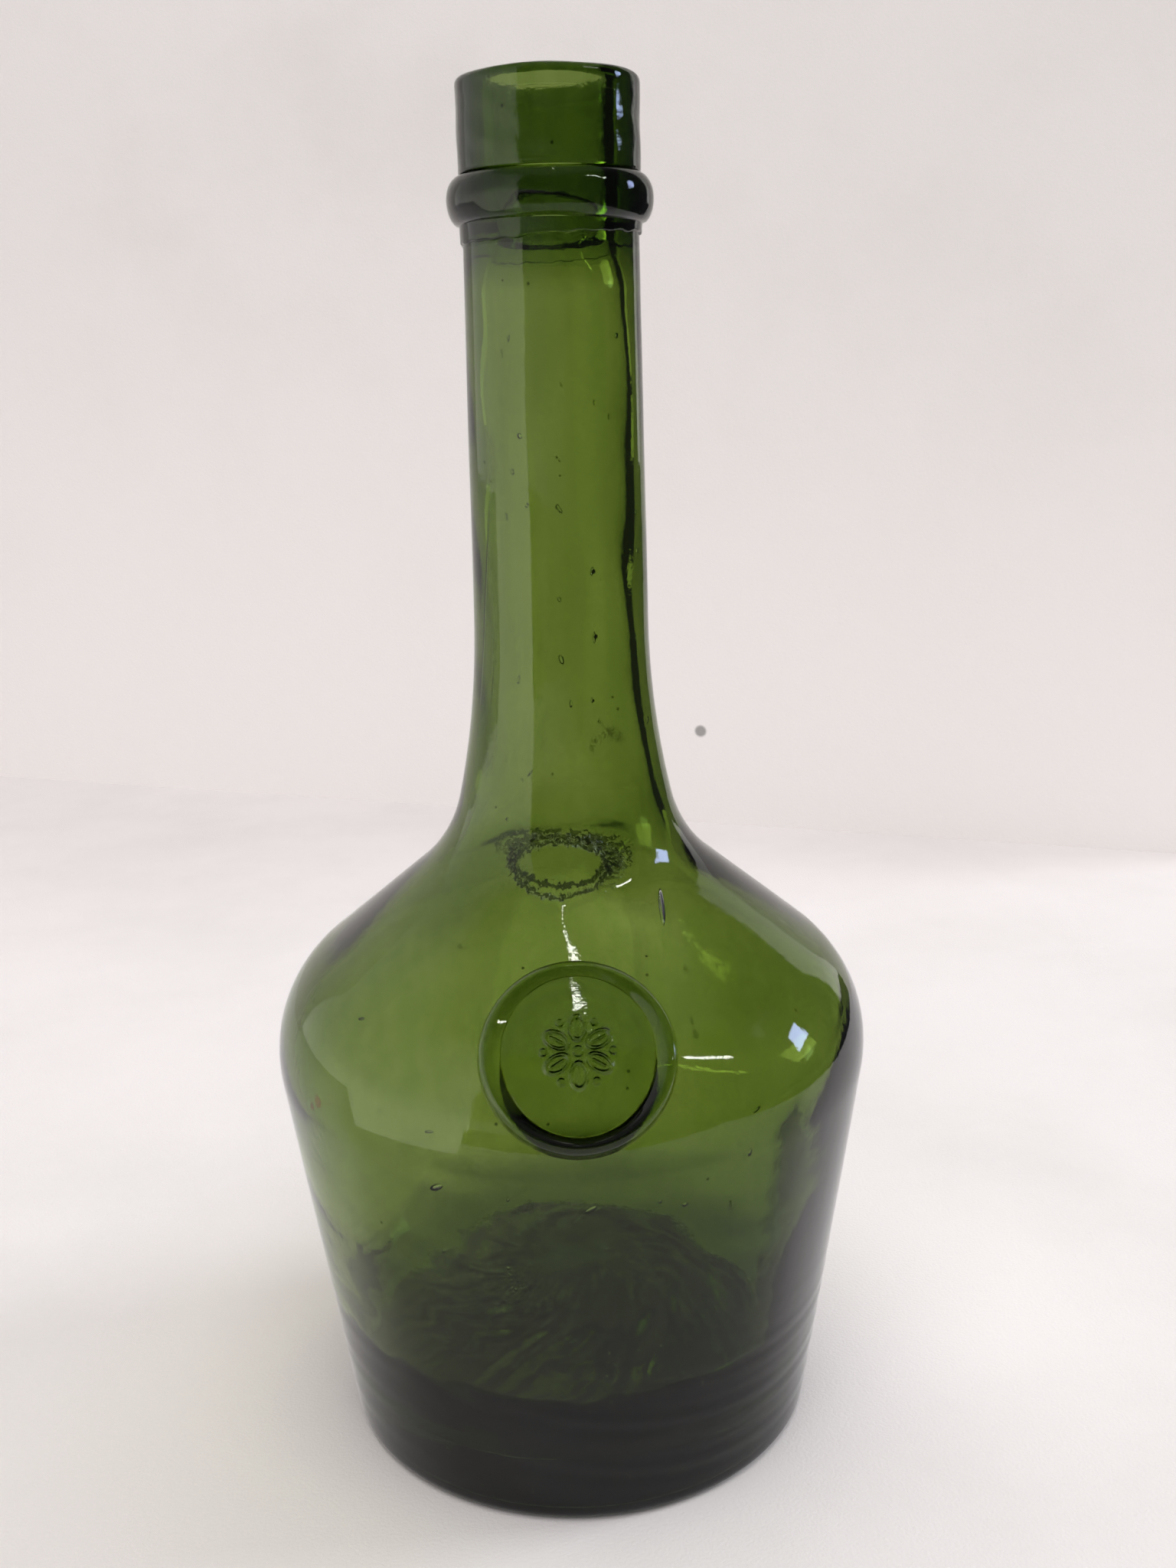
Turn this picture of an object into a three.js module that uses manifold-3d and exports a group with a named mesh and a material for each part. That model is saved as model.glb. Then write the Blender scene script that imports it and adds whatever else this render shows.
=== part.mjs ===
// Blown glass bottle with a laid-on lip and string ring, and a stamped glass seal on its shoulder.
// Millimetres, +Z up. The origin is the middle of the foot, on the table, and the seal faces -Y.
// Every outline is drawn in the plane of radius and height and turned about the upright axis.

import * as THREE from "three";
import { mergeVertices } from "three/addons/utils/BufferGeometryUtils.js";
import Module from "manifold-3d";

const degrees = Math.PI / 180;

// Whole bottle
const bottleHeight = 255;
const wallThickness = 3.6; // above the heavy foot
const seatGap = 0.3; // between two gathers of glass

// Foot, side and push-up
const footRadius = 46.6; // the side line carried down to the table
const heelRounding = 3;
const footRingWidth = 6; // the flat band that the bottle stands on
const footRingRounding = 2; // where that band turns up into the hollow
const puntDepth = 23; // the hollow under the base, at its middle
const baseThickness = 6; // glass above the hollow
const floorRadius = 41.2; // the dome inside is cut from an ellipse this wide
const floorFoot = 9.5; // height of the widest place of that ellipse
const valleyHeight = 11.5; // where the dome meets the inside of the side, well in from the outside
const valleyRounding = 2.2;
const heavySide = 3; // the side keeps its full thickness this far above the valley
const thinHeight = 30; // and has thinned to the wall's at this height
const thinningCurve = 6; // how gently it does so

// Shoulder and neck
const shoulderRadius = 57.5; // where the side line runs into the shoulder
const shoulderHeight = 74.7;
const shoulderCurve = 25; // radius of the round shoulder, seen from the side
const shoulderSlope = 50.8 * degrees; // the dome leans this far from upright
const neckRootCurve = 25; // the hollow curve between dome and neck
const flareSlope = 12.6 * degrees; // where that curve passes into the long flare
const flareCurve = 164;
const neckRadius = 16.3; // at the upper end of the flare
const neckEndRadius = 15.6; // under the string ring

// Lip and string ring
const lipRadius = 16;
const lipHeight = 15.8; // the visible band
const lipRounding = 1.1;
const lipCover = 3; // glass over the end of the neck
const boreRadius = 10.2;
const boreTaperHeight = 6; // the bore narrows over this height, below the string ring
const finishInset = 2.7; // the neck is drawn in by this much under the lip and ring
const ringRadius = 18.2;
const ringHeight = 8.2;
const ringLift = 0.3; // the skirt and the foot of the bead stand off the neck by this much
const skirtHeight = 2.2; // glass that ran down below the bead

// Seal
const sealTilt = 36 * degrees; // its face looks up by this much
const sealRise = 3.4; // its middle lies this far above the point where its plane touches the shoulder
const sealRadius = 16.7;
const sealFaceRadius = 13.2; // the stamped disc
const sealFaceHeight = 1.7; // the disc above that plane, at its middle
const sealRimRise = 1.4; // the squeezed-out rim above the disc
const sealRimRounding = 0.9;
const sealDrape = 3; // how far its upper and lower ends bend down with the shoulder
const sealWrap = 1.2; // how far its two sides bend back round the bottle

// How finely curves are cut
const aroundSteps = 72;
const curveSteps = 8;
const shortCurveSteps = 4;
const cornerSteps = 2;
const sealAroundSteps = 60;

// Places that follow from the dimensions
const sideLean = Math.atan2(shoulderRadius - footRadius, shoulderHeight);
const shoulderCentre = point(
  shoulderRadius - shoulderCurve * Math.cos(sideLean),
  shoulderHeight + shoulderCurve * Math.sin(sideLean),
);
const domeTop = polar(shoulderCentre, shoulderCurve, shoulderSlope);
const rootWidth = neckRootCurve * (Math.cos(flareSlope) - Math.cos(shoulderSlope));
const flareWidth = flareCurve * (1 - Math.cos(flareSlope));
const domeWidth = domeTop.x - neckRadius - rootWidth - flareWidth;
const rootStart = point(domeTop.x - domeWidth, domeTop.y + domeWidth / Math.tan(shoulderSlope));
const rootCentre = polar(rootStart, neckRootCurve, shoulderSlope);
const flareStart = polar(rootCentre, -neckRootCurve, flareSlope);
const flareCentre = polar(flareStart, flareCurve, flareSlope);

const lipBottom = bottleHeight - lipHeight;
const ringTop = lipBottom - seatGap;
const ringBottom = ringTop - ringHeight;
const skirtBottom = ringBottom - skirtHeight;
const neckEnd = skirtBottom - seatGap;
const spigotRadius = neckEndRadius - finishInset;
const spigotTop = bottleHeight - lipCover - seatGap;
const sleeveRadius = spigotRadius + seatGap;
const skirtRadius = neckEndRadius + ringLift;

const heelCentre = point(sideRadius(heelRounding, 0) - heelRounding / Math.cos(sideLean), heelRounding);
const puntRadius = heelCentre.x - footRingWidth;

const glass = {
  body: { color: 0x44632a, roughness: 0.06, metalness: 0 },
  lip: { color: 0x33521f, roughness: 0.08, metalness: 0 },
  ring: { color: 0x2b4620, roughness: 0.08, metalness: 0 },
  seal: { color: 0x4a6e28, roughness: 0.07, metalness: 0 },
};

function point(radius, height) {
  return new THREE.Vector2(radius, height);
}

// The point at an angle above the horizontal on a circle. A negative radius gives the far side.
function polar(centre, radius, angle) {
  return point(centre.x + radius * Math.cos(angle), centre.y + radius * Math.sin(angle));
}

function arc(centre, radius, from, to, steps) {
  return Array.from({ length: steps + 1 }, (_, i) => polar(centre, radius, from + ((to - from) * i) / steps));
}

// The corner between two edges, rounded over the length reach on each, or over what the edges allow.
function roundedCorner(before, corner, after, reach) {
  const towards = (end) => {
    const edge = end.clone().sub(corner);
    return corner.clone().add(edge.setLength(Math.min(reach, edge.length() / 2)));
  };
  return new THREE.QuadraticBezierCurve(towards(before), corner, towards(after)).getPoints(cornerSteps);
}

// Radius of the straight side at a height. Inset moves the wall's outline inwards, square to the wall.
function sideRadius(height, inset) {
  return footRadius + height * Math.tan(sideLean) - inset / Math.cos(sideLean);
}

// The wall from the top of the side, round the shoulder, up the dome and into the neck.
// Offset arcs keep their centres, so one outline gives the outside, the inside and the seal's bed.
function upperWall(inset, steps = curveSteps) {
  return [
    ...arc(shoulderCentre, shoulderCurve - inset, -sideLean, shoulderSlope, steps),
    ...arc(rootCentre, -(neckRootCurve + inset), shoulderSlope, flareSlope, shortCurveSteps + 1),
    ...arc(flareCentre, -(flareCurve + inset), flareSlope, 0, shortCurveSteps).slice(1),
  ];
}

// The upper half of an ellipse, from the axis outwards to a given angle from the vertical.
function dome(radius, foot, top, end, steps) {
  const angle = (i) => (end * i) / steps;
  return Array.from({ length: steps + 1 }, (_, i) =>
    point(radius * Math.sin(angle(i)), foot + (top - foot) * Math.cos(angle(i))),
  );
}

// The hollow under the base, from the axis down to the flat band.
function puntOutline() {
  const hollow = dome(puntRadius, 0, puntDepth, Math.acos(footRingRounding / puntDepth), curveSteps);
  const edge = roundedCorner(hollow.at(-1), point(puntRadius, 0), point(heelCentre.x, 0), footRingRounding);
  return [...hollow.slice(0, -1), ...edge];
}

// The inside below the shoulder: it thickens down the side, turns in the valley and rises over the dome.
function lowerInside() {
  const top = puntDepth + baseThickness;
  const valleyAngle = Math.acos((valleyHeight - floorFoot) / (top - floorFoot));
  const crown = dome(floorRadius, floorFoot, top, valleyAngle, curveSteps - 1).reverse();
  const valley = crown.shift();
  const up = point(Math.sin(sideLean), Math.cos(sideLean));
  const heavyEnd = valley.clone().addScaledVector(up, heavySide);
  const thinEnd = point(sideRadius(thinHeight, wallThickness), thinHeight);
  const side = new THREE.CubicBezierCurve(
    thinEnd,
    thinEnd.clone().addScaledVector(up, -thinningCurve),
    heavyEnd.clone().addScaledVector(up, thinningCurve),
    heavyEnd,
  );
  const turnIn = roundedCorner(heavyEnd, valley, crown[0], valleyRounding);
  return [...side.getPoints(shortCurveSteps), ...turnIn, ...crown];
}

function bodyOutline() {
  return [
    ...puntOutline(),
    ...arc(heelCentre, heelRounding, -Math.PI / 2, -sideLean, shortCurveSteps - 1),
    ...upperWall(0),
    point(neckEndRadius, neckEnd),
    point(spigotRadius, neckEnd),
    point(spigotRadius, spigotTop),
    point(boreRadius, spigotTop),
    point(boreRadius, neckEnd),
    point(neckEndRadius - wallThickness, neckEnd - boreTaperHeight),
    ...upperWall(wallThickness, curveSteps - 2).reverse(),
    ...lowerInside(),
  ];
}

// The lip is a sleeve over the drawn-in neck, closed over its end down to the bore.
function lipOutline() {
  const underside = point(sleeveRadius, lipBottom);
  const topOuter = point(lipRadius, bottleHeight);
  const topInner = point(boreRadius, bottleHeight);
  const boreFoot = point(boreRadius, bottleHeight - lipCover);
  const bottomOuter = point(lipRadius, lipBottom);
  return [
    underside,
    bottomOuter,
    ...roundedCorner(bottomOuter, topOuter, topInner, lipRounding),
    ...roundedCorner(topOuter, topInner, boreFoot, lipRounding),
    boreFoot,
    point(sleeveRadius, bottleHeight - lipCover),
    underside,
  ];
}

// The bead is half an ellipse on a short skirt, which hugs the neck.
function ringOutline() {
  const beadMiddle = (ringTop + ringBottom) / 2;
  const bead = arc(point(0, 0), 1, -Math.PI / 2, Math.PI / 2, curveSteps).map((unit) =>
    point(skirtRadius + (ringRadius - skirtRadius) * unit.x, beadMiddle + (ringHeight / 2) * unit.y),
  );
  const underside = point(sleeveRadius, skirtBottom);
  return [underside, point(skirtRadius, skirtBottom), ...bead, point(sleeveRadius, ringTop), underside];
}

// Outline of the seal about its own axis, height zero in the plane that touches the shoulder.
// It reaches down past the shoulder, whose shape is then cut out of it.
function sealOutline() {
  const rimMiddle = point(sealRadius - sealRimRounding, sealFaceHeight + sealRimRise - sealRimRounding);
  const faceEdge = point(sealFaceRadius, sealFaceHeight);
  const faceMiddle = point(0, sealFaceHeight);
  const root = shoulderCurve / 2;
  return [
    point(0, -root),
    point(sealRadius, -root),
    ...arc(rimMiddle, sealRimRounding, 0, Math.PI / 2, shortCurveSteps),
    ...new THREE.LineCurve(faceEdge, faceMiddle).getPoints(shortCurveSteps),
  ];
}

function turned(outline, steps) {
  const geometry = new THREE.LatheGeometry(outline, steps);
  geometry.rotateX(Math.PI / 2);
  geometry.deleteAttribute("normal");
  geometry.deleteAttribute("uv");
  return mergeVertices(geometry, 1e-4);
}

// Bends the seal over the shoulder: it sinks with the square of the distance up, down or across.
function draped(geometry) {
  const places = geometry.attributes.position;
  for (let i = 0; i < places.count; i += 1) {
    const across = places.getX(i) / sealRadius;
    const upward = places.getY(i) / sealRadius;
    places.setZ(i, places.getZ(i) - sealDrape * upward ** 2 - sealWrap * across ** 2);
  }
  return geometry;
}

const wasm = await Module();
wasm.setup();

function solidOf(geometry) {
  const merged = mergeVertices(geometry, 1e-4);
  return new wasm.Manifold(
    new wasm.Mesh({
      numProp: 3,
      vertProperties: new Float32Array(merged.attributes.position.array),
      triVerts: new Uint32Array(merged.index.array),
    }),
  );
}

function geometryOf(solid) {
  const mesh = solid.getMesh();
  const geometry = new THREE.BufferGeometry();
  geometry.setAttribute("position", new THREE.BufferAttribute(mesh.vertProperties, 3));
  geometry.setIndex(new THREE.BufferAttribute(mesh.triVerts, 1));
  return geometry;
}

// The seal is cut to the shoulder and dome, grown by the seat gap, so that it fits them all over.
function sealGeometry() {
  const seat = polar(shoulderCentre, shoulderCurve, sealTilt);
  const pad = draped(turned(sealOutline(), sealAroundSteps));
  pad.translate(0, sealRise, 0);
  pad.rotateX(Math.PI / 2 - sealTilt);
  pad.translate(0, -seat.x, seat.y);
  const wall = upperWall(-seatGap);
  const bed = [point(0, 0), point(sideRadius(0, -seatGap), 0), ...wall, point(0, wall.at(-1).y)];
  return geometryOf(solidOf(pad).subtract(solidOf(turned(bed, aroundSteps))));
}

function piece(name, geometry, finish) {
  geometry.computeVertexNormals();
  const mesh = new THREE.Mesh(geometry, new THREE.MeshStandardMaterial(finish));
  mesh.name = name;
  return mesh;
}

const bottle = new THREE.Group();
bottle.add(
  piece("bottle_body", turned(bodyOutline(), aroundSteps), glass.body),
  piece("lip_band", turned(lipOutline(), aroundSteps), glass.lip),
  piece("string_ring", turned(ringOutline(), aroundSteps), glass.ring),
  piece("applied_seal", sealGeometry(), glass.seal),
);

export default bottle;
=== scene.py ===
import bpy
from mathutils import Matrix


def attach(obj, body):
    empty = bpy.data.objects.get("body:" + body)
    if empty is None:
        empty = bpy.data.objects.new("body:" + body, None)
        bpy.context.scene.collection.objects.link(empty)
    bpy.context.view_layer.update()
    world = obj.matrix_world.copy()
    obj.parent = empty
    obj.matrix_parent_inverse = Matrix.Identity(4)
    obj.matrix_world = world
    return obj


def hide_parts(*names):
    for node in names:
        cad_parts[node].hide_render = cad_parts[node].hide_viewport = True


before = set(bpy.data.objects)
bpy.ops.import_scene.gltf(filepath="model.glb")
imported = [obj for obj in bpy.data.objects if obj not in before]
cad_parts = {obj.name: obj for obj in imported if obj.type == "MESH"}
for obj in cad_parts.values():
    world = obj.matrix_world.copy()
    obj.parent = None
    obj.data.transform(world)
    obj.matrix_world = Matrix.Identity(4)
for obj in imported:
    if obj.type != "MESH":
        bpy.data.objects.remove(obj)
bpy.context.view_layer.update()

import math

import bpy
import numpy as np
from mathutils import Matrix, Vector

# Green blown glass bottle with a laid-on lip, a string ring and a round seal on its shoulder.
# Lengths in the dictionaries are millimetres and angles are degrees. Meshes are in metres.

mm = 0.001
sharpFrom = 44.0
scene = bpy.context.scene


# shared shape helpers

def sine(angle):
    return math.sin(math.radians(angle))


def cosine(angle):
    return math.cos(math.radians(angle))


def alongArc(centre, radius, angle):
    # one point: centre + radius * (cos a, sin a)
    return np.array([centre[0] + radius * cosine(angle), centre[1] + radius * sine(angle)])


def arcPoints(centre, radius, start, stop, count):
    # centre + radius * (cos a, sin a) for angles a from start to stop
    angles = np.radians(np.linspace(start, stop, count))
    return np.stack([centre[0] + radius * np.cos(angles), centre[1] + radius * np.sin(angles)], axis=1)


def linePoints(start, stop, count):
    # straight blend from start to stop, both ends included
    blend = np.linspace(0.0, 1.0, count)[:, None]
    return np.asarray(start) * (1 - blend) + np.asarray(stop) * blend


def cornerPoints(before, corner, after, reach, count):
    # quadratic curve from the point before the corner to the point after it, each at most reach away
    corner = np.asarray(corner, float)
    ends = []
    for end in (before, after):
        edge = np.asarray(end, float) - corner
        length = np.hypot(*edge)
        ends.append(corner + edge / length * min(reach, length / 2))
    t = np.linspace(0.0, 1.0, count)[:, None]
    return ends[0] * (1 - t) ** 2 + corner * 2 * t * (1 - t) + ends[1] * t ** 2


def bezierPoints(a, b, c, d, count):
    # cubic curve with end points a and d and handles b and c
    t = np.linspace(0.0, 1.0, count)[:, None]
    return a * (1 - t) ** 3 + b * 3 * t * (1 - t) ** 2 + c * 3 * t ** 2 * (1 - t) + d * t ** 3


def domePoints(radius, foot, top, stop, count):
    # half an ellipse from the axis outwards: (radius sin a, foot + (top - foot) cos a), a from 0 to stop
    angles = np.linspace(0.0, stop, count)
    return np.stack([radius * np.sin(angles), foot + (top - foot) * np.cos(angles)], axis=1)


def joinOutlines(*parts):
    # one outline from several, without the points that two neighbours share
    joined = [parts[0]]
    for part in parts[1:]:
        same = np.hypot(*(part[0] - joined[-1][-1])) < 1e-6
        joined.append(part[1:] if same else part)
    return np.concatenate(joined)


def outlineNormals(outline):
    # the tangent turned by a right angle, pointing to the left of the direction of travel
    tangent = np.gradient(outline, axis=0)
    tangent /= np.maximum(np.hypot(tangent[:, 0], tangent[:, 1]), 1e-9)[:, None]
    return np.stack([-tangent[:, 1], tangent[:, 0]], axis=1)


def smoothStep(low, high, value):
    # 0 below low, 1 above high, and a soft S between them
    t = np.clip((value - low) / (high - low), 0.0, 1.0)
    return t * t * (3 - 2 * t)


def softBand(value, low, lowFull, highFull, high):
    # 1 from lowFull to highFull, and 0 below low and above high
    return smoothStep(low, lowFull, value) * (1 - smoothStep(highFull, high, value))


def bell(value, middle, spread):
    # exp(-t * t / 2), where t counts the spreads from the middle
    return np.exp(-((value - middle) / spread) ** 2 / 2)


def waves(height, turn, seed, size, lengths, lobes):
    # sum of cosines with random phases: whole lobes round the axis, the given wave lengths along it
    draw = np.random.default_rng(seed)
    total = np.zeros(np.broadcast(height, turn).shape)
    for length in lengths:
        for lobe in lobes:
            phase, drift = draw.uniform(0, 2 * math.pi, 2)
            wave = np.cos(lobe * turn + phase + height / length * 2 * math.pi + drift)
            total += wave * draw.uniform(0.5, 1.0)
    return size * total / math.sqrt(len(lengths) * len(lobes))


def turnsRound(columns):
    # angles from the front, once round the axis
    return np.linspace(0, 2 * math.pi, columns, endpoint=False)[None, :]


def aboutAxis(radius, turn, height):
    # x = r sin a, y = -r cos a, z = height, for turns a from the front
    return np.stack(np.broadcast_arrays(radius * np.sin(turn), -radius * np.cos(turn), height), axis=-1)


def gridFaces(rows, columns, wrapped=False):
    # quads between neighbouring rows; the columns close round the axis, and wrapped rows close too
    row, column = np.meshgrid(np.arange(rows if wrapped else rows - 1), np.arange(columns), indexing="ij")
    here, above = row * columns, (row + 1) % rows * columns
    following = (column + 1) % columns
    quads = [here + column, here + following, above + following, above + column]
    return np.stack(quads, axis=-1).reshape(-1, 4)


def fanFaces(pole, ring, flip):
    # triangles from a pole to the ring of vertices round it
    following = np.roll(ring, -1)
    order = (ring, following) if flip else (following, ring)
    return np.stack([np.full(len(ring), pole), *order], axis=1)


def closedFaces(rows, columns):
    # a grid and its two poles, whose points come after the grid's: before the first row, after the last
    pole, ring = rows * columns, np.arange(columns)
    first, last = fanFaces(pole, ring, False), fanFaces(pole + 1, ring + (rows - 1) * columns, True)
    return gridFaces(rows, columns).tolist() + first.tolist() + last.tolist()


def addMesh(name, points, faces, fused):
    # points is n x 3 in millimetres; fused marks the faces where two gathers of glass are one
    mesh = bpy.data.meshes.new(name)
    mesh.from_pydata((points * mm).tolist(), [], faces)
    mesh.update()
    mesh.shade_smooth()
    mesh.set_sharp_from_angle(angle=math.radians(sharpFrom))
    layer = mesh.attributes.new("fused", "FLOAT", "FACE")
    layer.data.foreach_set("value", np.asarray(fused, np.float32))
    piece = bpy.data.objects.new(name, mesh)
    scene.collection.objects.link(piece)
    return piece


print("helpers ready")


# camera, at the photograph's angle

view = dict(
    place=(0.0, -292.65, 205.29), pitch=14.658, yaw=0.848, roll=1.301,
    sensor=36.0, focal=36.0 * 2050.0 / 2048.0,
)


def makeCamera():
    lens = bpy.data.cameras.new("viewCamera")
    lens.sensor_fit = "AUTO"
    lens.sensor_width = view["sensor"]
    lens.lens = view["focal"]
    lens.clip_start, lens.clip_end = 0.01, 50.0
    camera = bpy.data.objects.new("viewCamera", lens)
    turn = (Matrix.Rotation(math.radians(-view["yaw"]), 4, "Z")
            @ Matrix.Rotation(math.radians(90 - view["pitch"]), 4, "X")
            @ Matrix.Rotation(math.radians(-view["roll"]), 4, "Z"))
    camera.matrix_world = Matrix.Translation(Vector(view["place"]) * mm) @ turn
    scene.collection.objects.link(camera)
    scene.camera = camera


makeCamera()
print("camera placed")


# body of the bottle

body = dict(
    height=255.0, wall=3.6, footRadius=46.6, heelRounding=3.0, footRing=6.0, footRounding=2.0,
    puntDepth=23.0, baseThickness=6.0, floorRadius=41.2, floorFoot=9.5, valleyHeight=11.5, valleyRounding=2.2,
    heavySide=3.0, thinHeight=30.0, thinningCurve=6.0,
    shoulderRadius=57.5, shoulderHeight=74.7, shoulderCurve=25.0, shoulderSlope=50.8,
    rootCurve=25.0, flareSlope=12.6, flareCurve=164.0, neckRadius=16.3, neckEndRadius=15.6,
    neckEnd=227.0, spigotRadius=12.9, spigotTop=251.7, boreRadius=10.2, boreTaperFoot=222.2,
    boreFoot=228.2, boreMiddle=240.0, boreRounding=3.0, columns=192,
    # the hollow sits a little to the left below these two heights, so the wall is heavier on the right
    hollowShift=1.0, hollowShiftFades=(45.0, 88.0),
)

# how the glass departs from the drawn outline: the waves all round it, and single places
uneven = dict(
    outside=dict(seed=3, size=0.05, lengths=(70.0, 38.0), lobes=(1, 2, 3, 5)),
    heel=dict(seed=5, size=0.085, lengths=(5.5, 3.7), lobes=(1, 3, 6)),
    inside=dict(seed=11, size=0.2, lengths=(55.0, 24.0, 90.0), lobes=(1, 2, 3, 4, 7)),
    wall=dict(seed=13, size=0.09, lengths=(12.0, 7.0), lobes=(5, 9, 16, 23)),
    hollow=dict(seed=17, size=0.4, lengths=(60.0, 26.0, 14.0), lobes=(1, 2, 3, 5)),
    floor=dict(seed=19, size=0.42, lengths=(9.0, 5.0, 6.5), lobes=(13, 22, 31, 40)),
    # heights between which they start or fade, and radii for the two in the base
    outsideFrom=(3.0, 12.0), heelZone=(4.0, 9.0, 26.0, 44.0), heelDrift=3.0, wallFades=(50.0, 90.0),
    hollowZone=(2.0, 16.0, 30.0, 37.0), floorZone=(5.0, 20.0, 36.0, 39.0), finishFades=(213.0, 225.0),
    # the floor inside and the hollow below it lie within these radii and heights
    floorWithin=(39.0, 30.0), hollowWithin=(37.5, 24.0), hollowShare=0.6,
    # out above the middle of each place and in below it
    rootPlaces=[dict(size=1.11, sunk=0.48, height=119.7, tall=4.8, turn=44.3, wide=21.0),
                dict(size=1.30, sunk=-0.23, height=116.2, tall=5.5, turn=24.4, wide=8.7)],
    # glass that gathered on the right as the bottle cooled: a thick belt with a wandering upper edge
    belt=dict(thickness=6.0, foot=(16.0, 24.0), top=55.0, fade=14.0, front=(-0.35, 0.05), right=(0.72, 0.95),
              edge=dict(seed=15, size=2.2, lengths=(10.0,), lobes=(3, 7, 12, 19))),
    # on the front right of the shoulder the inside leans a little more than the outside
    leaning=dict(height=90.0, tall=7.0, turn=48.0, wide=14.0, upward=0.2, sideways=2.1),
)

lean = math.degrees(math.atan2(body["shoulderRadius"] - body["footRadius"], body["shoulderHeight"]))
shoulderCentre = alongArc((body["shoulderRadius"], body["shoulderHeight"]), -body["shoulderCurve"], -lean)
domeTop = alongArc(shoulderCentre, body["shoulderCurve"], body["shoulderSlope"])
rootWidth = body["rootCurve"] * (cosine(body["flareSlope"]) - cosine(body["shoulderSlope"]))
flareWidth = body["flareCurve"] * (1 - cosine(body["flareSlope"]))
domeWidth = domeTop[0] - body["neckRadius"] - rootWidth - flareWidth
rootStart = domeTop + np.array([-domeWidth, domeWidth / math.tan(math.radians(body["shoulderSlope"]))])
rootCentre = alongArc(rootStart, body["rootCurve"], body["shoulderSlope"])
flareStart = alongArc(rootCentre, -body["rootCurve"], body["flareSlope"])
flareCentre = alongArc(flareStart, body["flareCurve"], body["flareSlope"])


def sideRadius(height, inset=0.0):
    # the straight side line; inset moves it inwards, square to itself
    return body["footRadius"] + height * math.tan(math.radians(lean)) - inset / cosine(lean)


def upperWall(inset):
    # side top, round the shoulder, up the dome and into the neck
    slope = body["shoulderSlope"]
    shoulder = (shoulderCentre, body["shoulderCurve"] - inset)
    root = (rootCentre, -(body["rootCurve"] + inset))
    flare = (flareCentre, -(body["flareCurve"] + inset))
    return joinOutlines(
        arcPoints(*shoulder, -lean, slope, 30),
        linePoints(alongArc(*shoulder, slope), alongArc(*root, slope), 14),
        arcPoints(*root, slope, body["flareSlope"], 18),
        arcPoints(*flare, body["flareSlope"], 0.0, 28),
    )


def neckRadius(height):
    # straight taper from the end of the flare to the finish
    share = (height - flareCentre[1]) / (body["boreFoot"] - flareCentre[1])
    return body["neckRadius"] + (body["neckEndRadius"] - body["neckRadius"]) * share


def lowerInside():
    # thickens down the side, turns in the valley and rises over the dome to the axis
    top = body["puntDepth"] + body["baseThickness"]
    stop = math.acos((body["valleyHeight"] - body["floorFoot"]) / (top - body["floorFoot"]))
    crown = domePoints(body["floorRadius"], body["floorFoot"], top, stop, 54)[::-1]
    up = np.array([sine(lean), cosine(lean)])
    heavyEnd = crown[0] + up * body["heavySide"]
    thinEnd = np.array([sideRadius(body["thinHeight"], body["wall"]), body["thinHeight"]])
    wallFoot = alongArc(shoulderCentre, body["shoulderCurve"] - body["wall"], -lean)
    curve = up * body["thinningCurve"]
    side = bezierPoints(thinEnd, thinEnd - curve, heavyEnd + curve, heavyEnd, 28)
    valley = cornerPoints(heavyEnd, crown[0], crown[4], body["valleyRounding"], 8)
    heavy = linePoints(heavyEnd, valley[0], 5)
    return joinOutlines(linePoints(wallFoot, thinEnd, 20), side, heavy, valley, crown[4:])


def bodyOutline():
    # closed run from the middle of the hollow base, round the outside, over the top and down the inside
    heelX = sideRadius(body["heelRounding"]) - body["heelRounding"] / cosine(lean)
    edge = heelX - body["footRing"]
    dome = domePoints(edge, 0.0, body["puntDepth"], math.acos(body["footRounding"] / body["puntDepth"]), 34)
    foot = cornerPoints(dome[-1], (edge, 0.0), (heelX, 0.0), body["footRounding"], 6)
    heel = arcPoints((heelX, body["heelRounding"]), body["heelRounding"], -90.0, -lean, 8)
    side = linePoints(heel[-1], (body["shoulderRadius"], body["shoulderHeight"]), 60)
    neckTop = (neckRadius(body["neckEnd"]), body["neckEnd"])
    outer = upperWall(0.0)
    outside = joinOutlines(dome, foot, heel, side, outer, linePoints(outer[-1], neckTop, 40))
    ledge = linePoints(neckTop, (body["spigotRadius"], body["neckEnd"]), 3)
    spigot = linePoints(ledge[-1], (body["spigotRadius"], body["spigotTop"]), 8)
    cap = linePoints(spigot[-1], (body["boreRadius"], body["spigotTop"]), 3)
    boreMiddle, boreFoot = [(body["boreRadius"], body[height]) for height in ("boreMiddle", "boreFoot")]
    bore = linePoints(cap[-1], boreFoot, 16)
    taper = (neckRadius(body["boreTaperFoot"]) - body["wall"], body["boreTaperFoot"])
    widening = cornerPoints(boreMiddle, boreFoot, taper, body["boreRounding"], 5)
    inner = upperWall(body["wall"])[::-1]
    inside = joinOutlines(widening, linePoints(taper, inner[0], 40)[1:], inner, lowerInside())
    top = joinOutlines(ledge, spigot, cap)
    fusedFrom = len(outside) - 1
    return joinOutlines(outside, top, bore[:-2], inside), fusedFrom, fusedFrom + len(top) - 1, len(outside)


def outsideWave(height, turn):
    # broad waves, ripples above the heel, and the uneven places on the right of the neck's root
    outer = waves(height, turn, **uneven["outside"]) * smoothStep(*uneven["outsideFrom"], height)
    ripple = waves(height + uneven["heelDrift"] * np.sin(2 * turn), turn, **uneven["heel"])
    outer = outer + ripple * softBand(height, *uneven["heelZone"])
    for place in uneven["rootPlaces"]:
        t = (height - place["height"]) / place["tall"]
        share = bell(np.degrees(turn), place["turn"], place["wide"]) * bell(t, 0.0, 1.0)
        outer = outer + share * (place["size"] * t - place["sunk"])
    return outer


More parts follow.
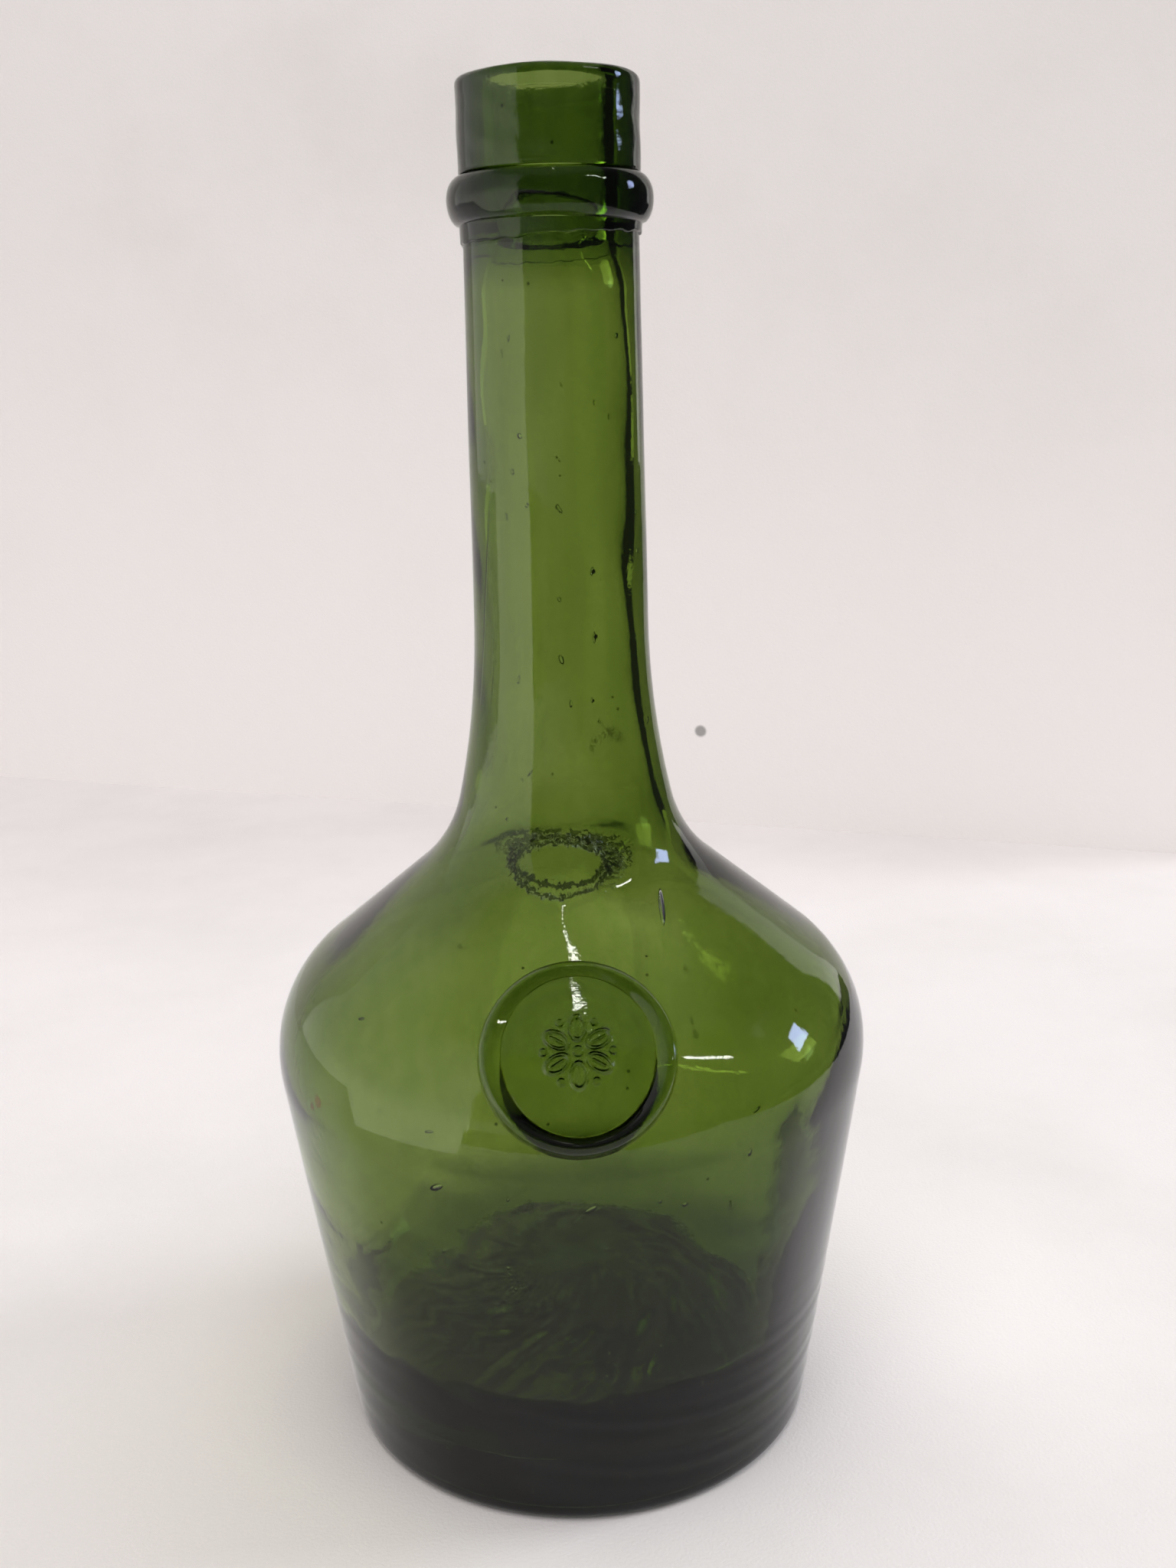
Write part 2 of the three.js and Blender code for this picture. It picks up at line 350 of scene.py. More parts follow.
def insideWave(height, turn):
    # broad and fine waves, the thick belt on the right, and the place where the inside leans
    inner = waves(height, turn, **uneven["inside"])
    inner = inner + waves(height, turn, **uneven["wall"]) * (1 - smoothStep(*uneven["wallFades"], height))
    belt = uneven["belt"]
    beltTop = belt["top"] + waves(0.0 * turn, turn, **belt["edge"])
    share = softBand(height, *belt["foot"], beltTop - belt["fade"], beltTop)
    share = share * smoothStep(*belt["front"], np.cos(turn)) * smoothStep(*belt["right"], np.sin(turn))
    inner = inner + belt["thickness"] * share
    place = uneven["leaning"]
    aside = turn - math.radians(place["turn"])
    share = bell(height, place["height"], place["tall"]) * bell(aside, 0.0, math.radians(place["wide"]))
    leaning = place["upward"] * (height - place["height"]) - place["sideways"] * aside
    return inner * (1 - share) + leaning * share


def bodyWave(outline, turn, outsideCount):
    # how far each point moves along the outline's outward normal
    height, radius = outline[:, 1][:, None], outline[:, 0][:, None]
    isOutside = np.arange(len(outline))[:, None] < outsideCount
    swell = waves(radius * 2.0, turn, **uneven["hollow"]) * softBand(radius, *uneven["hollowZone"])
    lumps = waves(radius, turn, **uneven["floor"]) * softBand(radius, *uneven["floorZone"])
    onFloor, inHollow = [(radius < uneven[within][0]) & (height < uneven[within][1])
                         for within in ("floorWithin", "hollowWithin")]
    outer = np.where(inHollow, swell * uneven["hollowShare"], outsideWave(height, turn))
    inner = np.where(onFloor, swell + lumps, insideWave(height, turn))
    return np.where(isOutside, outer, inner) * (1 - smoothStep(*uneven["finishFades"], height))


def bubble(centre, size, axisAlong, axisOut, rings, sides):
    # ellipsoid shell whose faces point into the hollow: centre + size * unit sphere in its own axes
    across = np.cross(axisAlong, axisOut)
    polar = np.linspace(0, math.pi, rings + 2)[1:-1][:, None]
    around = np.linspace(0, 2 * math.pi, sides, endpoint=False)[None, :]
    sphere = (np.cos(polar) + 0 * around, np.sin(polar) * np.cos(around), np.sin(polar) * np.sin(around))
    halves = np.stack([axisAlong * size[0], across * size[1], axisOut * size[2]])
    grid = np.stack(sphere, axis=-1).reshape(-1, 3) @ halves + centre
    poles = np.array([centre + halves[0], centre - halves[0]])
    return np.concatenate([grid, poles]), [face[::-1] for face in closedFaces(rings, sides)]


# air trapped in the wall: height, turn from the front, half sizes along, across and through, slant, depth
trapped = [
    (72.0, -24.8, 1.45, 0.62, 0.36, 62, 0.9), (69.6, 2.4, 1.2, 0.5, 0.32, 58, 0.9),
    (112.6, 34.5, 4.2, 0.6, 0.34, 27, 1.1), (75.3, 31.6, 0.7, 0.42, 0.3, 15, 0.8),
    (69.8, 14.5, 0.42, 0.3, 0.24, 0, 0.8), (68.2, 19.2, 0.55, 0.42, 0.28, 80, 0.9),
    (66.4, -2.1, 0.34, 0.22, 0.2, 0, 0.7), (61.3, 5.1, 0.34, 0.3, 0.22, 0, 0.8),
    (58.7, -25.2, 0.5, 0.34, 0.26, 20, 0.8), (56.8, -16.6, 0.3, 0.26, 0.2, 0, 0.7),
    (45.2, -3.7, 0.3, 0.26, 0.2, 0, 0.9), (38.6, 11.4, 0.36, 0.28, 0.2, 40, 0.9),
    (38.6, 16.0, 0.42, 0.3, 0.22, 10, 0.9), (12.2, -31.8, 0.5, 0.42, 0.3, 0, 1.1),
    (6.0, -23.7, 0.34, 0.3, 0.24, 0, 0.9), (6.5, -11.6, 0.42, 0.32, 0.26, 0, 0.9),
    (9.9, 10.0, 1.5, 0.13, 0.12, -32, 0.5), (13.4, 33.9, 0.34, 0.3, 0.2, 0, 0.8),
    (82.5, -25.5, 0.9, 0.24, 0.2, 80, 0.8), (82.9, 33.3, 0.9, 0.3, 0.24, 66, 0.8),
    (171.4, 21.4, 0.8, 0.34, 0.3, 10, 1.0), (159.6, 21.8, 1.1, 0.3, 0.26, 0, 1.0),
    (148.4, 18.5, 0.5, 0.26, 0.22, 0, 1.0), (96.0, -48.0, 0.8, 0.3, 0.26, 70, 1.0),
    (163.6, -59.7, 20.0, 0.3, 0.22, 7.4, 0.8),
]
# single small bubbles all over, as ranges from which each is drawn
strewn = dict(seed=53, count=46, size=(0.16, 0.5), height=(8.0, 222.0), turn=(0, 360), drawnOut=(1, 2.4),
              flat=0.7, slant=(-40, 40), depth=(0.9, 1.6))
# upright swarms of fine bubbles low in the front wall: height, turn, how high and wide each is
swarms = [(54.0, -12.6, 5.0, 0.9), (33.0, 6.3, 6.0, 1.3)]
swarming = dict(count=13, size=(0.14, 0.3), drawnOut=1.6, flat=0.8, slant=(-40, 40), depth=(0.6, 1.4))


def bubblePlaces():
    # the listed bubbles, then the strewn ones and the swarms
    draw = np.random.default_rng(strewn["seed"])
    places = list(trapped)
    for _ in range(strewn["count"]):
        size = draw.uniform(*strewn["size"])
        height, turn = draw.uniform(*strewn["height"]), draw.uniform(*strewn["turn"])
        long = size * draw.uniform(*strewn["drawnOut"])
        slant, depth = draw.uniform(*strewn["slant"]), draw.uniform(*strewn["depth"])
        places.append((height, turn, long, size, size * strewn["flat"], slant, depth))
    for middle, around, high, wide in swarms:
        for _ in range(swarming["count"]):
            size = draw.uniform(*swarming["size"])
            height, turn = middle + draw.normal(0, high * 0.5), around + draw.normal(0, wide * 0.5)
            slant, depth = draw.uniform(*swarming["slant"]), draw.uniform(*swarming["depth"])
            long, thick = size * swarming["drawnOut"], size * swarming["flat"]
            places.append((height, turn, long, size, thick, slant, depth))
    return places


def trappedAir():
    # each bubble is an ellipsoid that lies along the wall, at its depth below the outside
    outer = upperWall(0.0)
    heelTop = (sideRadius(body["heelRounding"]), body["heelRounding"])
    side = linePoints(heelTop, (body["shoulderRadius"], body["shoulderHeight"]), 40)
    neckTop = (neckRadius(body["neckEnd"]), body["neckEnd"])
    outline = joinOutlines(side, outer, linePoints(outer[-1], neckTop, 30))
    slopes = np.gradient(outline[:, 0], outline[:, 1])
    shells = []
    for height, turn, long, wide, thick, slant, depth in bubblePlaces():
        slope = float(np.interp(height, outline[:, 1], slopes))
        square = np.array([1.0, -slope]) / math.hypot(1.0, slope)
        reach = float(np.interp(height, outline[:, 1], outline[:, 0])) - square[0] * depth
        side = np.array([cosine(turn), sine(turn), 0.0])
        outward = aboutAxis(square[0], math.radians(turn), square[1])
        upward = np.cross(side, outward)
        along = upward * cosine(slant) - side * sine(slant)
        centre = aboutAxis(reach, math.radians(turn), height - square[1] * depth)
        rings, sides = (9, 14) if long > 1.0 else (4, 8)
        shells.append(bubble(centre, (long, wide, thick), along, outward, rings, sides))
    return shells


def makeBody():
    # the outline moved along its normals by its waves, turned about the axis, and the bubbles' shells
    outline, fusedFrom, fusedTo, outsideCount = bodyOutline()
    turn = turnsRound(body["columns"])
    moved = -bodyWave(outline, turn, outsideCount)
    normals = outlineNormals(outline)
    radius = np.maximum(outline[:, 0][:, None] + normals[:, 0][:, None] * moved, 0.0)
    height = outline[:, 1][:, None]
    grid = aboutAxis(radius, turn, height + normals[:, 1][:, None] * moved)
    isInside = np.arange(len(outline))[:, None] >= outsideCount
    grid[..., 0] -= body["hollowShift"] * isInside * (1 - smoothStep(*body["hollowShiftFades"], height))
    rows = len(outline) - 2
    points = np.concatenate([grid[1:-1].reshape(-1, 3), [grid[0].mean(axis=0), grid[-1].mean(axis=0)]])
    faces = closedFaces(rows, body["columns"])
    row = np.repeat(np.arange(rows - 1), body["columns"]) + 1
    fused = (row >= fusedFrom) & (row < fusedTo)
    for shellPoints, shellFaces in trappedAir():
        faces += [[index + len(points) for index in face] for face in shellFaces]
        points = np.concatenate([points, shellPoints])
    fused = np.concatenate([fused, np.zeros(len(faces) - len(fused), bool)])
    return addMesh("bodyGlass", points, faces, fused)


bodyGlass = makeBody()
print("body made:", len(bodyGlass.data.polygons), "faces")


# lip, a sleeve over the drawn-in end of the neck

lip = dict(
    radius=16.0, bottom=238.93, rounding=1.54, footRounding=0.675, fit=0.02, columns=200,
    side=dict(seed=23, size=0.07, lengths=(30.0, 11.0, 6.0), lobes=(1, 2, 3, 5, 9)), sideFrom=(13.5, 15.0),
    sag=dict(seed=29, size=0.16, lengths=(40.0,), lobes=(1, 2, 3, 5)), sagFrom=(252.5, 254.6),
)


def makeLip():
    # up the band's outside, over its top and down to the bore, then back along the neck's end
    inner, ledge = body["spigotRadius"] + lip["fit"], body["spigotTop"] + lip["fit"]
    bore, top = body["boreRadius"], body["height"]
    low, high = (lip["radius"], lip["bottom"]), (lip["radius"], top)
    foot = cornerPoints((inner, lip["bottom"]), low, high, lip["footRounding"], 5)
    upper = cornerPoints(low, high, (bore, top), lip["rounding"], 7)
    lower = cornerPoints(high, (bore, top), (bore, ledge), lip["rounding"], 7)
    outside, rim = linePoints(foot[-1], upper[0], 36), linePoints(upper[-1], lower[0], 12)
    run = joinOutlines(foot, outside, upper, rim, lower, linePoints(lower[-1], (bore, ledge), 5))
    back = joinOutlines(linePoints((bore, ledge), (inner, ledge), 4),
                        linePoints((inner, ledge), (inner, lip["bottom"]), 12),
                        linePoints((inner, lip["bottom"]), foot[0], 4))
    outline = joinOutlines(run, back)[:-1]
    turn = turnsRound(lip["columns"])
    radius, height = outline[:, 0][:, None], outline[:, 1][:, None]
    side = waves(height, turn, **lip["side"]) * smoothStep(*lip["sideFrom"], radius)
    side = side * smoothStep(lip["bottom"], lip["bottom"] + 1.0, height)
    sag = (waves(radius * 3, turn, **lip["sag"]) - lip["sag"]["size"]) * smoothStep(*lip["sagFrom"], height)
    points = aboutAxis(radius + side, turn, height + sag)
    rows = len(outline)
    fused = np.repeat(np.arange(rows) >= len(run) - 1, lip["columns"])
    return addMesh("lipGlass", points.reshape(-1, 3), gridFaces(rows, lip["columns"], True).tolist(), fused)


lipGlass = makeLip()
print("lip made:", len(lipGlass.data.polygons), "faces")


# string ring, a bead on a thin ragged skirt

ring = dict(
    radius=18.2, top=238.91, bottom=230.7, crease=15.75, creaseWave=0.12, fullness=0.55, fit=0.02,
    skirtThickness=0.45, skirtFront=2.5, skirtLeft=0.7, skirtSlack=0.4, skirtFlare=0.1,
    skirtFrontLeft=0.3, edgeBelow=0.12, edgeAbove=0.38, creaseTurn=0.7, beadFoot=231.0, columns=216,
    rag=dict(seed=31, size=0.22, lengths=(10.0,), lobes=(5, 9, 14, 23)),
    bead=dict(seed=37, size=0.12, lengths=(9.0, 20.0), lobes=(1, 2, 3, 5)),
)


def makeRing():
    # rows of radius and height: up under the skirt, round its edge, up to the crease, over the bead
    turn = turnsRound(ring["columns"])
    inner, foot = body["spigotRadius"] + ring["fit"], body["neckEnd"] + ring["fit"]
    thickness, slack = ring["skirtThickness"], ring["skirtSlack"]
    # the skirt hangs lowest on the left, -X, and is short on the right
    leftwards = ring["skirtLeft"] * np.sin(turn) * (1 + ring["skirtFrontLeft"] * np.cos(turn))
    depth = ring["skirtFront"] - leftwards
    edge = ring["bottom"] - depth + waves(0.0 * turn, turn, **ring["rag"])
    edge = np.clip(edge, foot + slack, ring["bottom"] - slack)
    crease = ring["bottom"] + ring["creaseWave"] * np.cos(2 * turn + ring["creaseTurn"])
    edgeLow, edgeHigh = edge - ring["edgeBelow"], edge + ring["edgeAbove"]
    rising = np.linspace(0, 1, 8)[1:, None]
    under = foot + (edgeLow - foot) * np.linspace(0, 1, 4)[:, None]
    hem = edgeLow + (edgeHigh - edgeLow) * rising
    skirt = edgeHigh + (crease - edgeHigh) * rising
    t = np.linspace(-1, 1, 34)[1:, None]
    wave = waves(t * 4, turn, **ring["bead"])
    beadBase = neckRadius(ring["beadFoot"]) + thickness + ring["skirtFlare"]
    base = np.where(t < 0, beadBase, ring["crease"])
    swell = (ring["radius"] - base + wave) * np.maximum(1 - t ** 2, 0) ** ring["fullness"]
    back = joinOutlines(linePoints((ring["crease"], ring["top"]), (inner, ring["top"]), 4),
                        linePoints((inner, ring["top"]), (inner, foot), 9),
                        linePoints((inner, foot), (float(neckRadius(foot)), foot), 4))[1:-1]
    hemRadius = neckRadius(hem) + thickness * np.sqrt(1 - (1 - rising) ** 2)
    skirtRadius = neckRadius(skirt) + thickness + ring["skirtFlare"] * rising
    bead = (crease + ring["top"]) / 2 + (ring["top"] - crease) / 2 * t
    radius = [neckRadius(under), hemRadius, skirtRadius, base + swell, back[:, 0][:, None] + 0.0 * turn]
    height = [under, hem, skirt, bead, back[:, 1][:, None] + 0.0 * turn]
    points = aboutAxis(np.concatenate(radius), turn, np.concatenate(height))
    rows = len(points)
    fused = np.repeat(np.arange(rows) >= rows - len(back) - 1, ring["columns"])
    return addMesh("ringGlass", points.reshape(-1, 3), gridFaces(rows, ring["columns"], True).tolist(), fused)


ringGlass = makeRing()
print("string ring made:", len(ringGlass.data.polygons), "faces")


# seal on the shoulder, a pressed disc inside a squeezed-out rim

seal = dict(
    tilt=36.0, rise=3.4, aside=1.0, radius=16.7, contact=16.95, fit=0.03, columns=240,
    faceRadius=13.2, faceHeight=1.7, narrow=0.975, tall=1.035, groove=0.7, grooveWide=0.1,
    rimRise=1.4, rimDrop=1.25, rimLow=0.4, rimLowFrom=(-0.9, 0.1), crest=15.55, crestWave=0.6, bevelFrom=-0.25,
    drape=3.0, wrap=2.1, backSlope=0.289, slopeFrom=(-3.0, 5.0), sideTilt=0.012, seatWithin=(-16.0, 10.0),
    face=dict(seed=41, size=0.03, lengths=(16.0, 9.0), lobes=(1, 2, 3)),
    rim=dict(seed=43, size=0.14, lengths=(10.0,), lobes=(1, 2, 3, 4)),
)
# the stamped figure: how high it stands, its size, and its petals, lines, boss and pearls as shares of that
rosette = dict(
    relief=0.55, size=6.8, margin=0.8, petalAt=0.60, petalLong=0.34, petalWide=0.22, line=(0.9, 0.17),
    vein=0.24, veinFades=(0.45, 0.75), veinShare=0.7, boss=0.17, bossFades=(0.55, 1.0),
    pearlAt=0.86, pearlFades=(0.42, 0.85),
)
# it was pressed on a little to the right of the middle
aside = np.array([sine(seal["aside"]), -cosine(seal["aside"]), 0.0])
upright = np.array([0.0, 0.0, 1.0])
sealNormal = aside * cosine(seal["tilt"]) + upright * sine(seal["tilt"])
sealUp = upright * cosine(seal["tilt"]) - aside * sine(seal["tilt"])
sealAcross = np.array([-aside[1], aside[0], 0.0])
seatPoint = alongArc(shoulderCentre, body["shoulderCurve"], seal["tilt"])
sealCentre = aside * seatPoint[0] + upright * seatPoint[1] + seal["rise"] * sealUp


def onSeal(u, v, depth):
    # the seal's own axes: u across, v up along its face, depth out of it
    return sealCentre + u[..., None] * sealAcross + v[..., None] * sealUp + depth[..., None] * sealNormal


def wallTable():
    # the outside of the shoulder and dome as radius and normal, by height
    shoulder = (body["shoulderRadius"], body["shoulderHeight"])
    outline = joinOutlines(linePoints((sideRadius(40.0), 40.0), shoulder, 30), upperWall(0.0))
    return outline, -outlineNormals(outline)


def gapToWall(points, outline, normals):
    # radial distance from points to the wall's outside, the wall's waves included
    radius = np.hypot(points[..., 0], points[..., 1])
    turn = np.arctan2(points[..., 0], -points[..., 1])
    height = points[..., 2]
    wall = np.interp(height, outline[:, 1], outline[:, 0])
    facing = np.interp(height, outline[:, 1], normals[:, 0])
    return radius - wall - (waves(height, turn, **uneven["outside"]) + seal["fit"]) / facing


def seatDepth(u, v):
    # bisection along the seal's normal for the place where the wall lies under each point of the seal
    outline, normals = wallTable()
    low, high = [np.full(u.shape, end) for end in seal["seatWithin"]]
    for _ in range(46):
        middle = (high + low) / 2
        outside = gapToWall(onSeal(u, v, middle), outline, normals) > 0
        high = np.where(outside, middle, high)
        low = np.where(outside, low, middle)
    return (high + low) / 2


def sealBend(u, v):
    # how far the pressed glass follows the bottle: a slope that starts softly near the middle and is
    # straight above it, and a bow below it
    low, high = seal["slopeFrom"]
    t = np.clip((v - low) / (high - low), 0.0, 1.0)
    backwards = seal["backSlope"] * ((high - low) * (t ** 3 - t ** 4 / 2) + np.maximum(v - high, 0.0))
    bow = seal["drape"] * (np.minimum(v, 0.0) / seal["radius"]) ** 2
    return backwards + bow + seal["wrap"] * (u / seal["radius"]) ** 2 + seal["sideTilt"] * u


def stampedFigure(radius, turn):
    # six petals round a boss, all drawn with thin raised lines, and pearls between them
    size = rosette["size"]
    sector = (turn + math.pi / 6) % (math.pi / 3) - math.pi / 6
    along = radius * np.cos(sector) - rosette["petalAt"] * size
    across = radius * np.sin(sector)
    petal = np.sqrt((along / (rosette["petalLong"] * size)) ** 2 + (across / (rosette["petalWide"] * size)) ** 2)
    middle, width = rosette["line"]
    lines = np.exp(-((petal - middle) / width) ** 2)
    vein = np.exp(-(across / rosette["vein"]) ** 2) * (1 - smoothStep(*rosette["veinFades"], petal))
    boss = 1 - smoothStep(*rosette["bossFades"], radius / (rosette["boss"] * size))
    offPearl = sector - np.sign(sector) * math.pi / 6
    pearl = np.hypot(radius * np.cos(offPearl) - rosette["pearlAt"] * size, radius * np.sin(offPearl))
    pearls = 1 - smoothStep(*rosette["pearlFades"], pearl)
    return np.maximum(np.maximum(lines, vein * rosette["veinShare"]), np.maximum(boss, pearls))


def sealFront(turn):
    # radius and height rows of the stamped disc, its groove and bevel, and the rim as far as its outer side
    edge = seal["faceRadius"] / np.hypot(np.sin(turn) / seal["narrow"], np.cos(turn) / seal["tall"])
    stamped = rosette["size"] + rosette["margin"]
    rows = [np.linspace(0.0, stamped, 64)[1:], np.linspace(stamped, seal["faceRadius"], 22)[1:]]
    share = np.concatenate(rows)[:, None]
    face = share * (1 + (edge / seal["faceRadius"] - 1) * smoothStep(stamped, seal["faceRadius"], share))
    dish = waves(face, turn, **seal["face"]) * smoothStep(0.0, 4.0, face)
    faceTop = seal["faceHeight"] + dish + rosette["relief"] * stampedFigure(face, turn)
    # the rim is lower at its top and sides
    wave = waves(0 * turn, turn, **seal["rim"])
    crest = seal["crest"] + seal["crestWave"] * wave
    lower = seal["rimLow"] * smoothStep(*seal["rimLowFrom"], np.cos(turn))
    crestTop = seal["faceHeight"] + seal["rimRise"] * (1 - lower) + wave
    # a sharp groove at the disc's edge, then a steep bevel that rounds over into the rim's crest
    t = np.linspace(0, 1, 19)[1:, None]
    bevel = edge + (crest - edge) * t
    dip = seal["groove"] * smoothStep(0.0, seal["grooveWide"], t) * (1 - t)
    rise = (crestTop - seal["faceHeight"]) * smoothStep(seal["bevelFrom"], 1.0, t)
    bevelTop = seal["faceHeight"] - dip + rise
    t = np.linspace(0, 1, 13)[1:, None] * math.pi / 2
    outer = crest + (seal["radius"] - crest) * np.sin(t)
    outerTop = crestTop - seal["rimDrop"] * (1 - np.cos(t))
    return np.concatenate([face, bevel, outer]), np.concatenate([faceTop, bevelTop, outerTop])


def makeSeal():
    # the front, the flank down to the wall, and the back on the wall, as rows round the seal's own axis
    turn = turnsRound(seal["columns"])
    radius, top = sealFront(turn)
    front = top - sealBend(radius * np.sin(turn), radius * np.cos(turn))
    # the flank runs down to the wall and flows out a little where it meets it
    t = np.linspace(0, 1, 13)[1:, None]
    flankRadius = seal["radius"] + (seal["contact"] - seal["radius"]) * t ** 3
    seat = seatDepth(seal["contact"] * np.sin(turn), seal["contact"] * np.cos(turn))
    flank = front[-1:] + (seat - front[-1:]) * t
    backRadius = np.linspace(seal["contact"], 0.0, 26)[1:-1, None]
    back = seatDepth(backRadius * np.sin(turn), backRadius * np.cos(turn))
    radius = np.concatenate([radius, flankRadius + 0 * turn, backRadius + 0 * turn])
    depth = np.concatenate([front, flank, back])
    grid = onSeal(radius * np.sin(turn), radius * np.cos(turn), depth)
    middle = np.zeros(1)
    poleDepths = [seal["faceHeight"] + rosette["relief"] - sealBend(middle, middle), seatDepth(middle, middle)]
    poles = [onSeal(middle, middle, depth)[0] for depth in poleDepths]
    rows, columns = depth.shape
    isBack = np.repeat(np.arange(rows - 1) >= rows - len(backRadius) - 1, columns)
    fused = np.concatenate([isBack, np.zeros(columns, bool), np.ones(columns, bool)])
    points = np.concatenate([grid.reshape(-1, 3), poles])
    return addMesh("sealGlass", points, closedFaces(rows, columns), fused)


sealGlass = makeSeal()
print("seal made:", len(sealGlass.data.polygons), "faces")


# node helpers

def makeGroup(name, inputs, output):
    # a node group with one output; inputs are names and values, where no value means a vector
    tree = bpy.data.node_groups.new(name, "ShaderNodeTree")
    for title, value in inputs.items():
        kind = "NodeSocketVector" if value is None else "NodeSocketFloat"
        socket = tree.interface.new_socket(name=title, in_out="INPUT", socket_type=kind)
        if value is not None:
            socket.default_value = value
    tree.interface.new_socket(name=output, in_out="OUTPUT", socket_type="NodeSocketFloat")
    return tree, tree.nodes.new("NodeGroupInput").outputs, tree.nodes.new("NodeGroupOutput").inputs[0]


def feed(tree, socket, value):
    # joins a socket to another, or sets its plain value
    if isinstance(value, bpy.types.NodeSocket):
        tree.links.new(value, socket)
    else:
        socket.default_value = value


def placeNode(tree, kind, values, **settings):
    # a new node with its settings; values go to its inputs, by name or in order
    node = tree.nodes.new(kind)
    for title, setting in settings.items():
        setattr(node, title, setting)
    pairs = values.items() if isinstance(values, dict) else enumerate(values)
    for title, value in pairs:
        feed(tree, node.inputs[title], value)
    return node


def placeGroup(tree, group, values):
    return placeNode(tree, "ShaderNodeGroup", values, node_tree=group).outputs[0]


def mathStep(operation):
    # a function that adds one math node
    def step(tree, *values, clamp=False):
        return placeNode(tree, "ShaderNodeMath", values, operation=operation, use_clamp=clamp).outputs[0]
    return step


plus, minus, times, over = mathStep("ADD"), mathStep("SUBTRACT"), mathStep("MULTIPLY"), mathStep("DIVIDE")
isOver, isUnder, larger = mathStep("GREATER_THAN"), mathStep("LESS_THAN"), mathStep("MAXIMUM")
absolute, squareRoot = mathStep("ABSOLUTE"), mathStep("SQRT")


def lengthOf(tree, first, second):
    return squareRoot(tree, plus(tree, times(tree, first, first), times(tree, second, second)))


def vectorNode(tree, operation, *values):
    node = placeNode(tree, "ShaderNodeVectorMath", values, operation=operation)
    return node.outputs["Value"] if operation in ("DOT_PRODUCT", "LENGTH") else node.outputs[0]


def offsetFrom(tree, place, point):
    # from a point in millimetres to the place
    return vectorNode(tree, "SUBTRACT", place, tuple(np.array(point) * mm))


def splitPlace(tree, place):
    return placeNode(tree, "ShaderNodeSeparateXYZ", [place]).outputs


def rangeNode(tree, value, low, high, soft=True):
    # 0 at low and 1 at high; low may be the larger of the two
    kind, values = "SMOOTHSTEP" if soft else "LINEAR", (value, low, high, 0.0, 1.0)
    return placeNode(tree, "ShaderNodeMapRange", values, interpolation_type=kind).outputs[0]


def noiseNode(tree, place, scale, detail=3.0, roughness=0.5, stretch=(1, 1, 1)):
    stretched = placeNode(tree, "ShaderNodeMapping", {"Vector": place, "Scale": stretch}).outputs[0]
    values = {"Vector": stretched, "Scale": scale, "Detail": detail, "Roughness": roughness}
    return placeNode(tree, "ShaderNodeTexNoise", values).outputs[0]


def wander(tree, place, amount, *noise):
    # noise about zero
    return times(tree, minus(tree, noiseNode(tree, place, *noise), 0.5), amount)


def lineAt(tree, value, middle, core, fade):
    # 1 within core of the middle, and 0 beyond fade from it
    return minus(tree, 1.0, rangeNode(tree, absolute(tree, minus(tree, value, middle)), core, fade))


def mixColours(tree, share, first, second):
    values = {0: share, 6: first, 7: second}
    return placeNode(tree, "ShaderNodeMix", values, data_type="RGBA", blend_type="MIX").outputs[2]


def addBump(tree, shader, height, strength, distance):
    values = {"Strength": strength, "Distance": distance, "Height": height}
    feed(tree, shader.inputs["Normal"], placeNode(tree, "ShaderNodeBump", values).outputs[0])


# glass of the four gathers

glass = dict(
    bodyGlass=dict(tint=(0.93, 0.97, 0.86, 1), streak=(0.84, 0.92, 0.70, 1), absorb=(0.56, 0.64, 0.22, 1),
                   density=540.0, ior=1.51, roughness=0.008, worn=0.05, grain=0.05, cordSize=1.0, specks=0.14),
    lipGlass=dict(tint=(0.90, 0.95, 0.82, 1), streak=(0.74, 0.84, 0.62, 1), absorb=(0.50, 0.60, 0.18, 1),
                  density=520.0, ior=1.44, roughness=0.014, worn=0.08, grain=0.24, cordSize=1.4, specks=0.4),
    ringGlass=dict(tint=(0.90, 0.95, 0.82, 1), streak=(0.74, 0.84, 0.62, 1), absorb=(0.50, 0.60, 0.18, 1),
                   density=520.0, ior=1.44, roughness=0.012, worn=0.06, grain=0.13, cordSize=1.4, specks=0.25),
    sealGlass=dict(tint=(0.94, 0.98, 0.86, 1), streak=(0.86, 0.93, 0.72, 1), absorb=(0.60, 0.68, 0.24, 1),
                   density=740.0, ior=1.51, roughness=0.008, worn=0.03, grain=0.05, cordSize=1.0, specks=0.14),
)
# what all four share: how strongly streaks and specks show, specks' cells and size, scales of the noise
melt = dict(cords=300.0, cordDetail=4.0, cordsFrom=(0.36, 0.66), streakShare=0.8, speckShare=0.85,
            speckSpread=230.0, speckSize=0.07, speckColour=(0.03, 0.035, 0.02, 1),
            wear=(90.0, 6.0, 0.65), wearFrom=(0.52, 0.72), grain=(420.0, 4.0, 0.55), bump=(1.0, 0.0004))
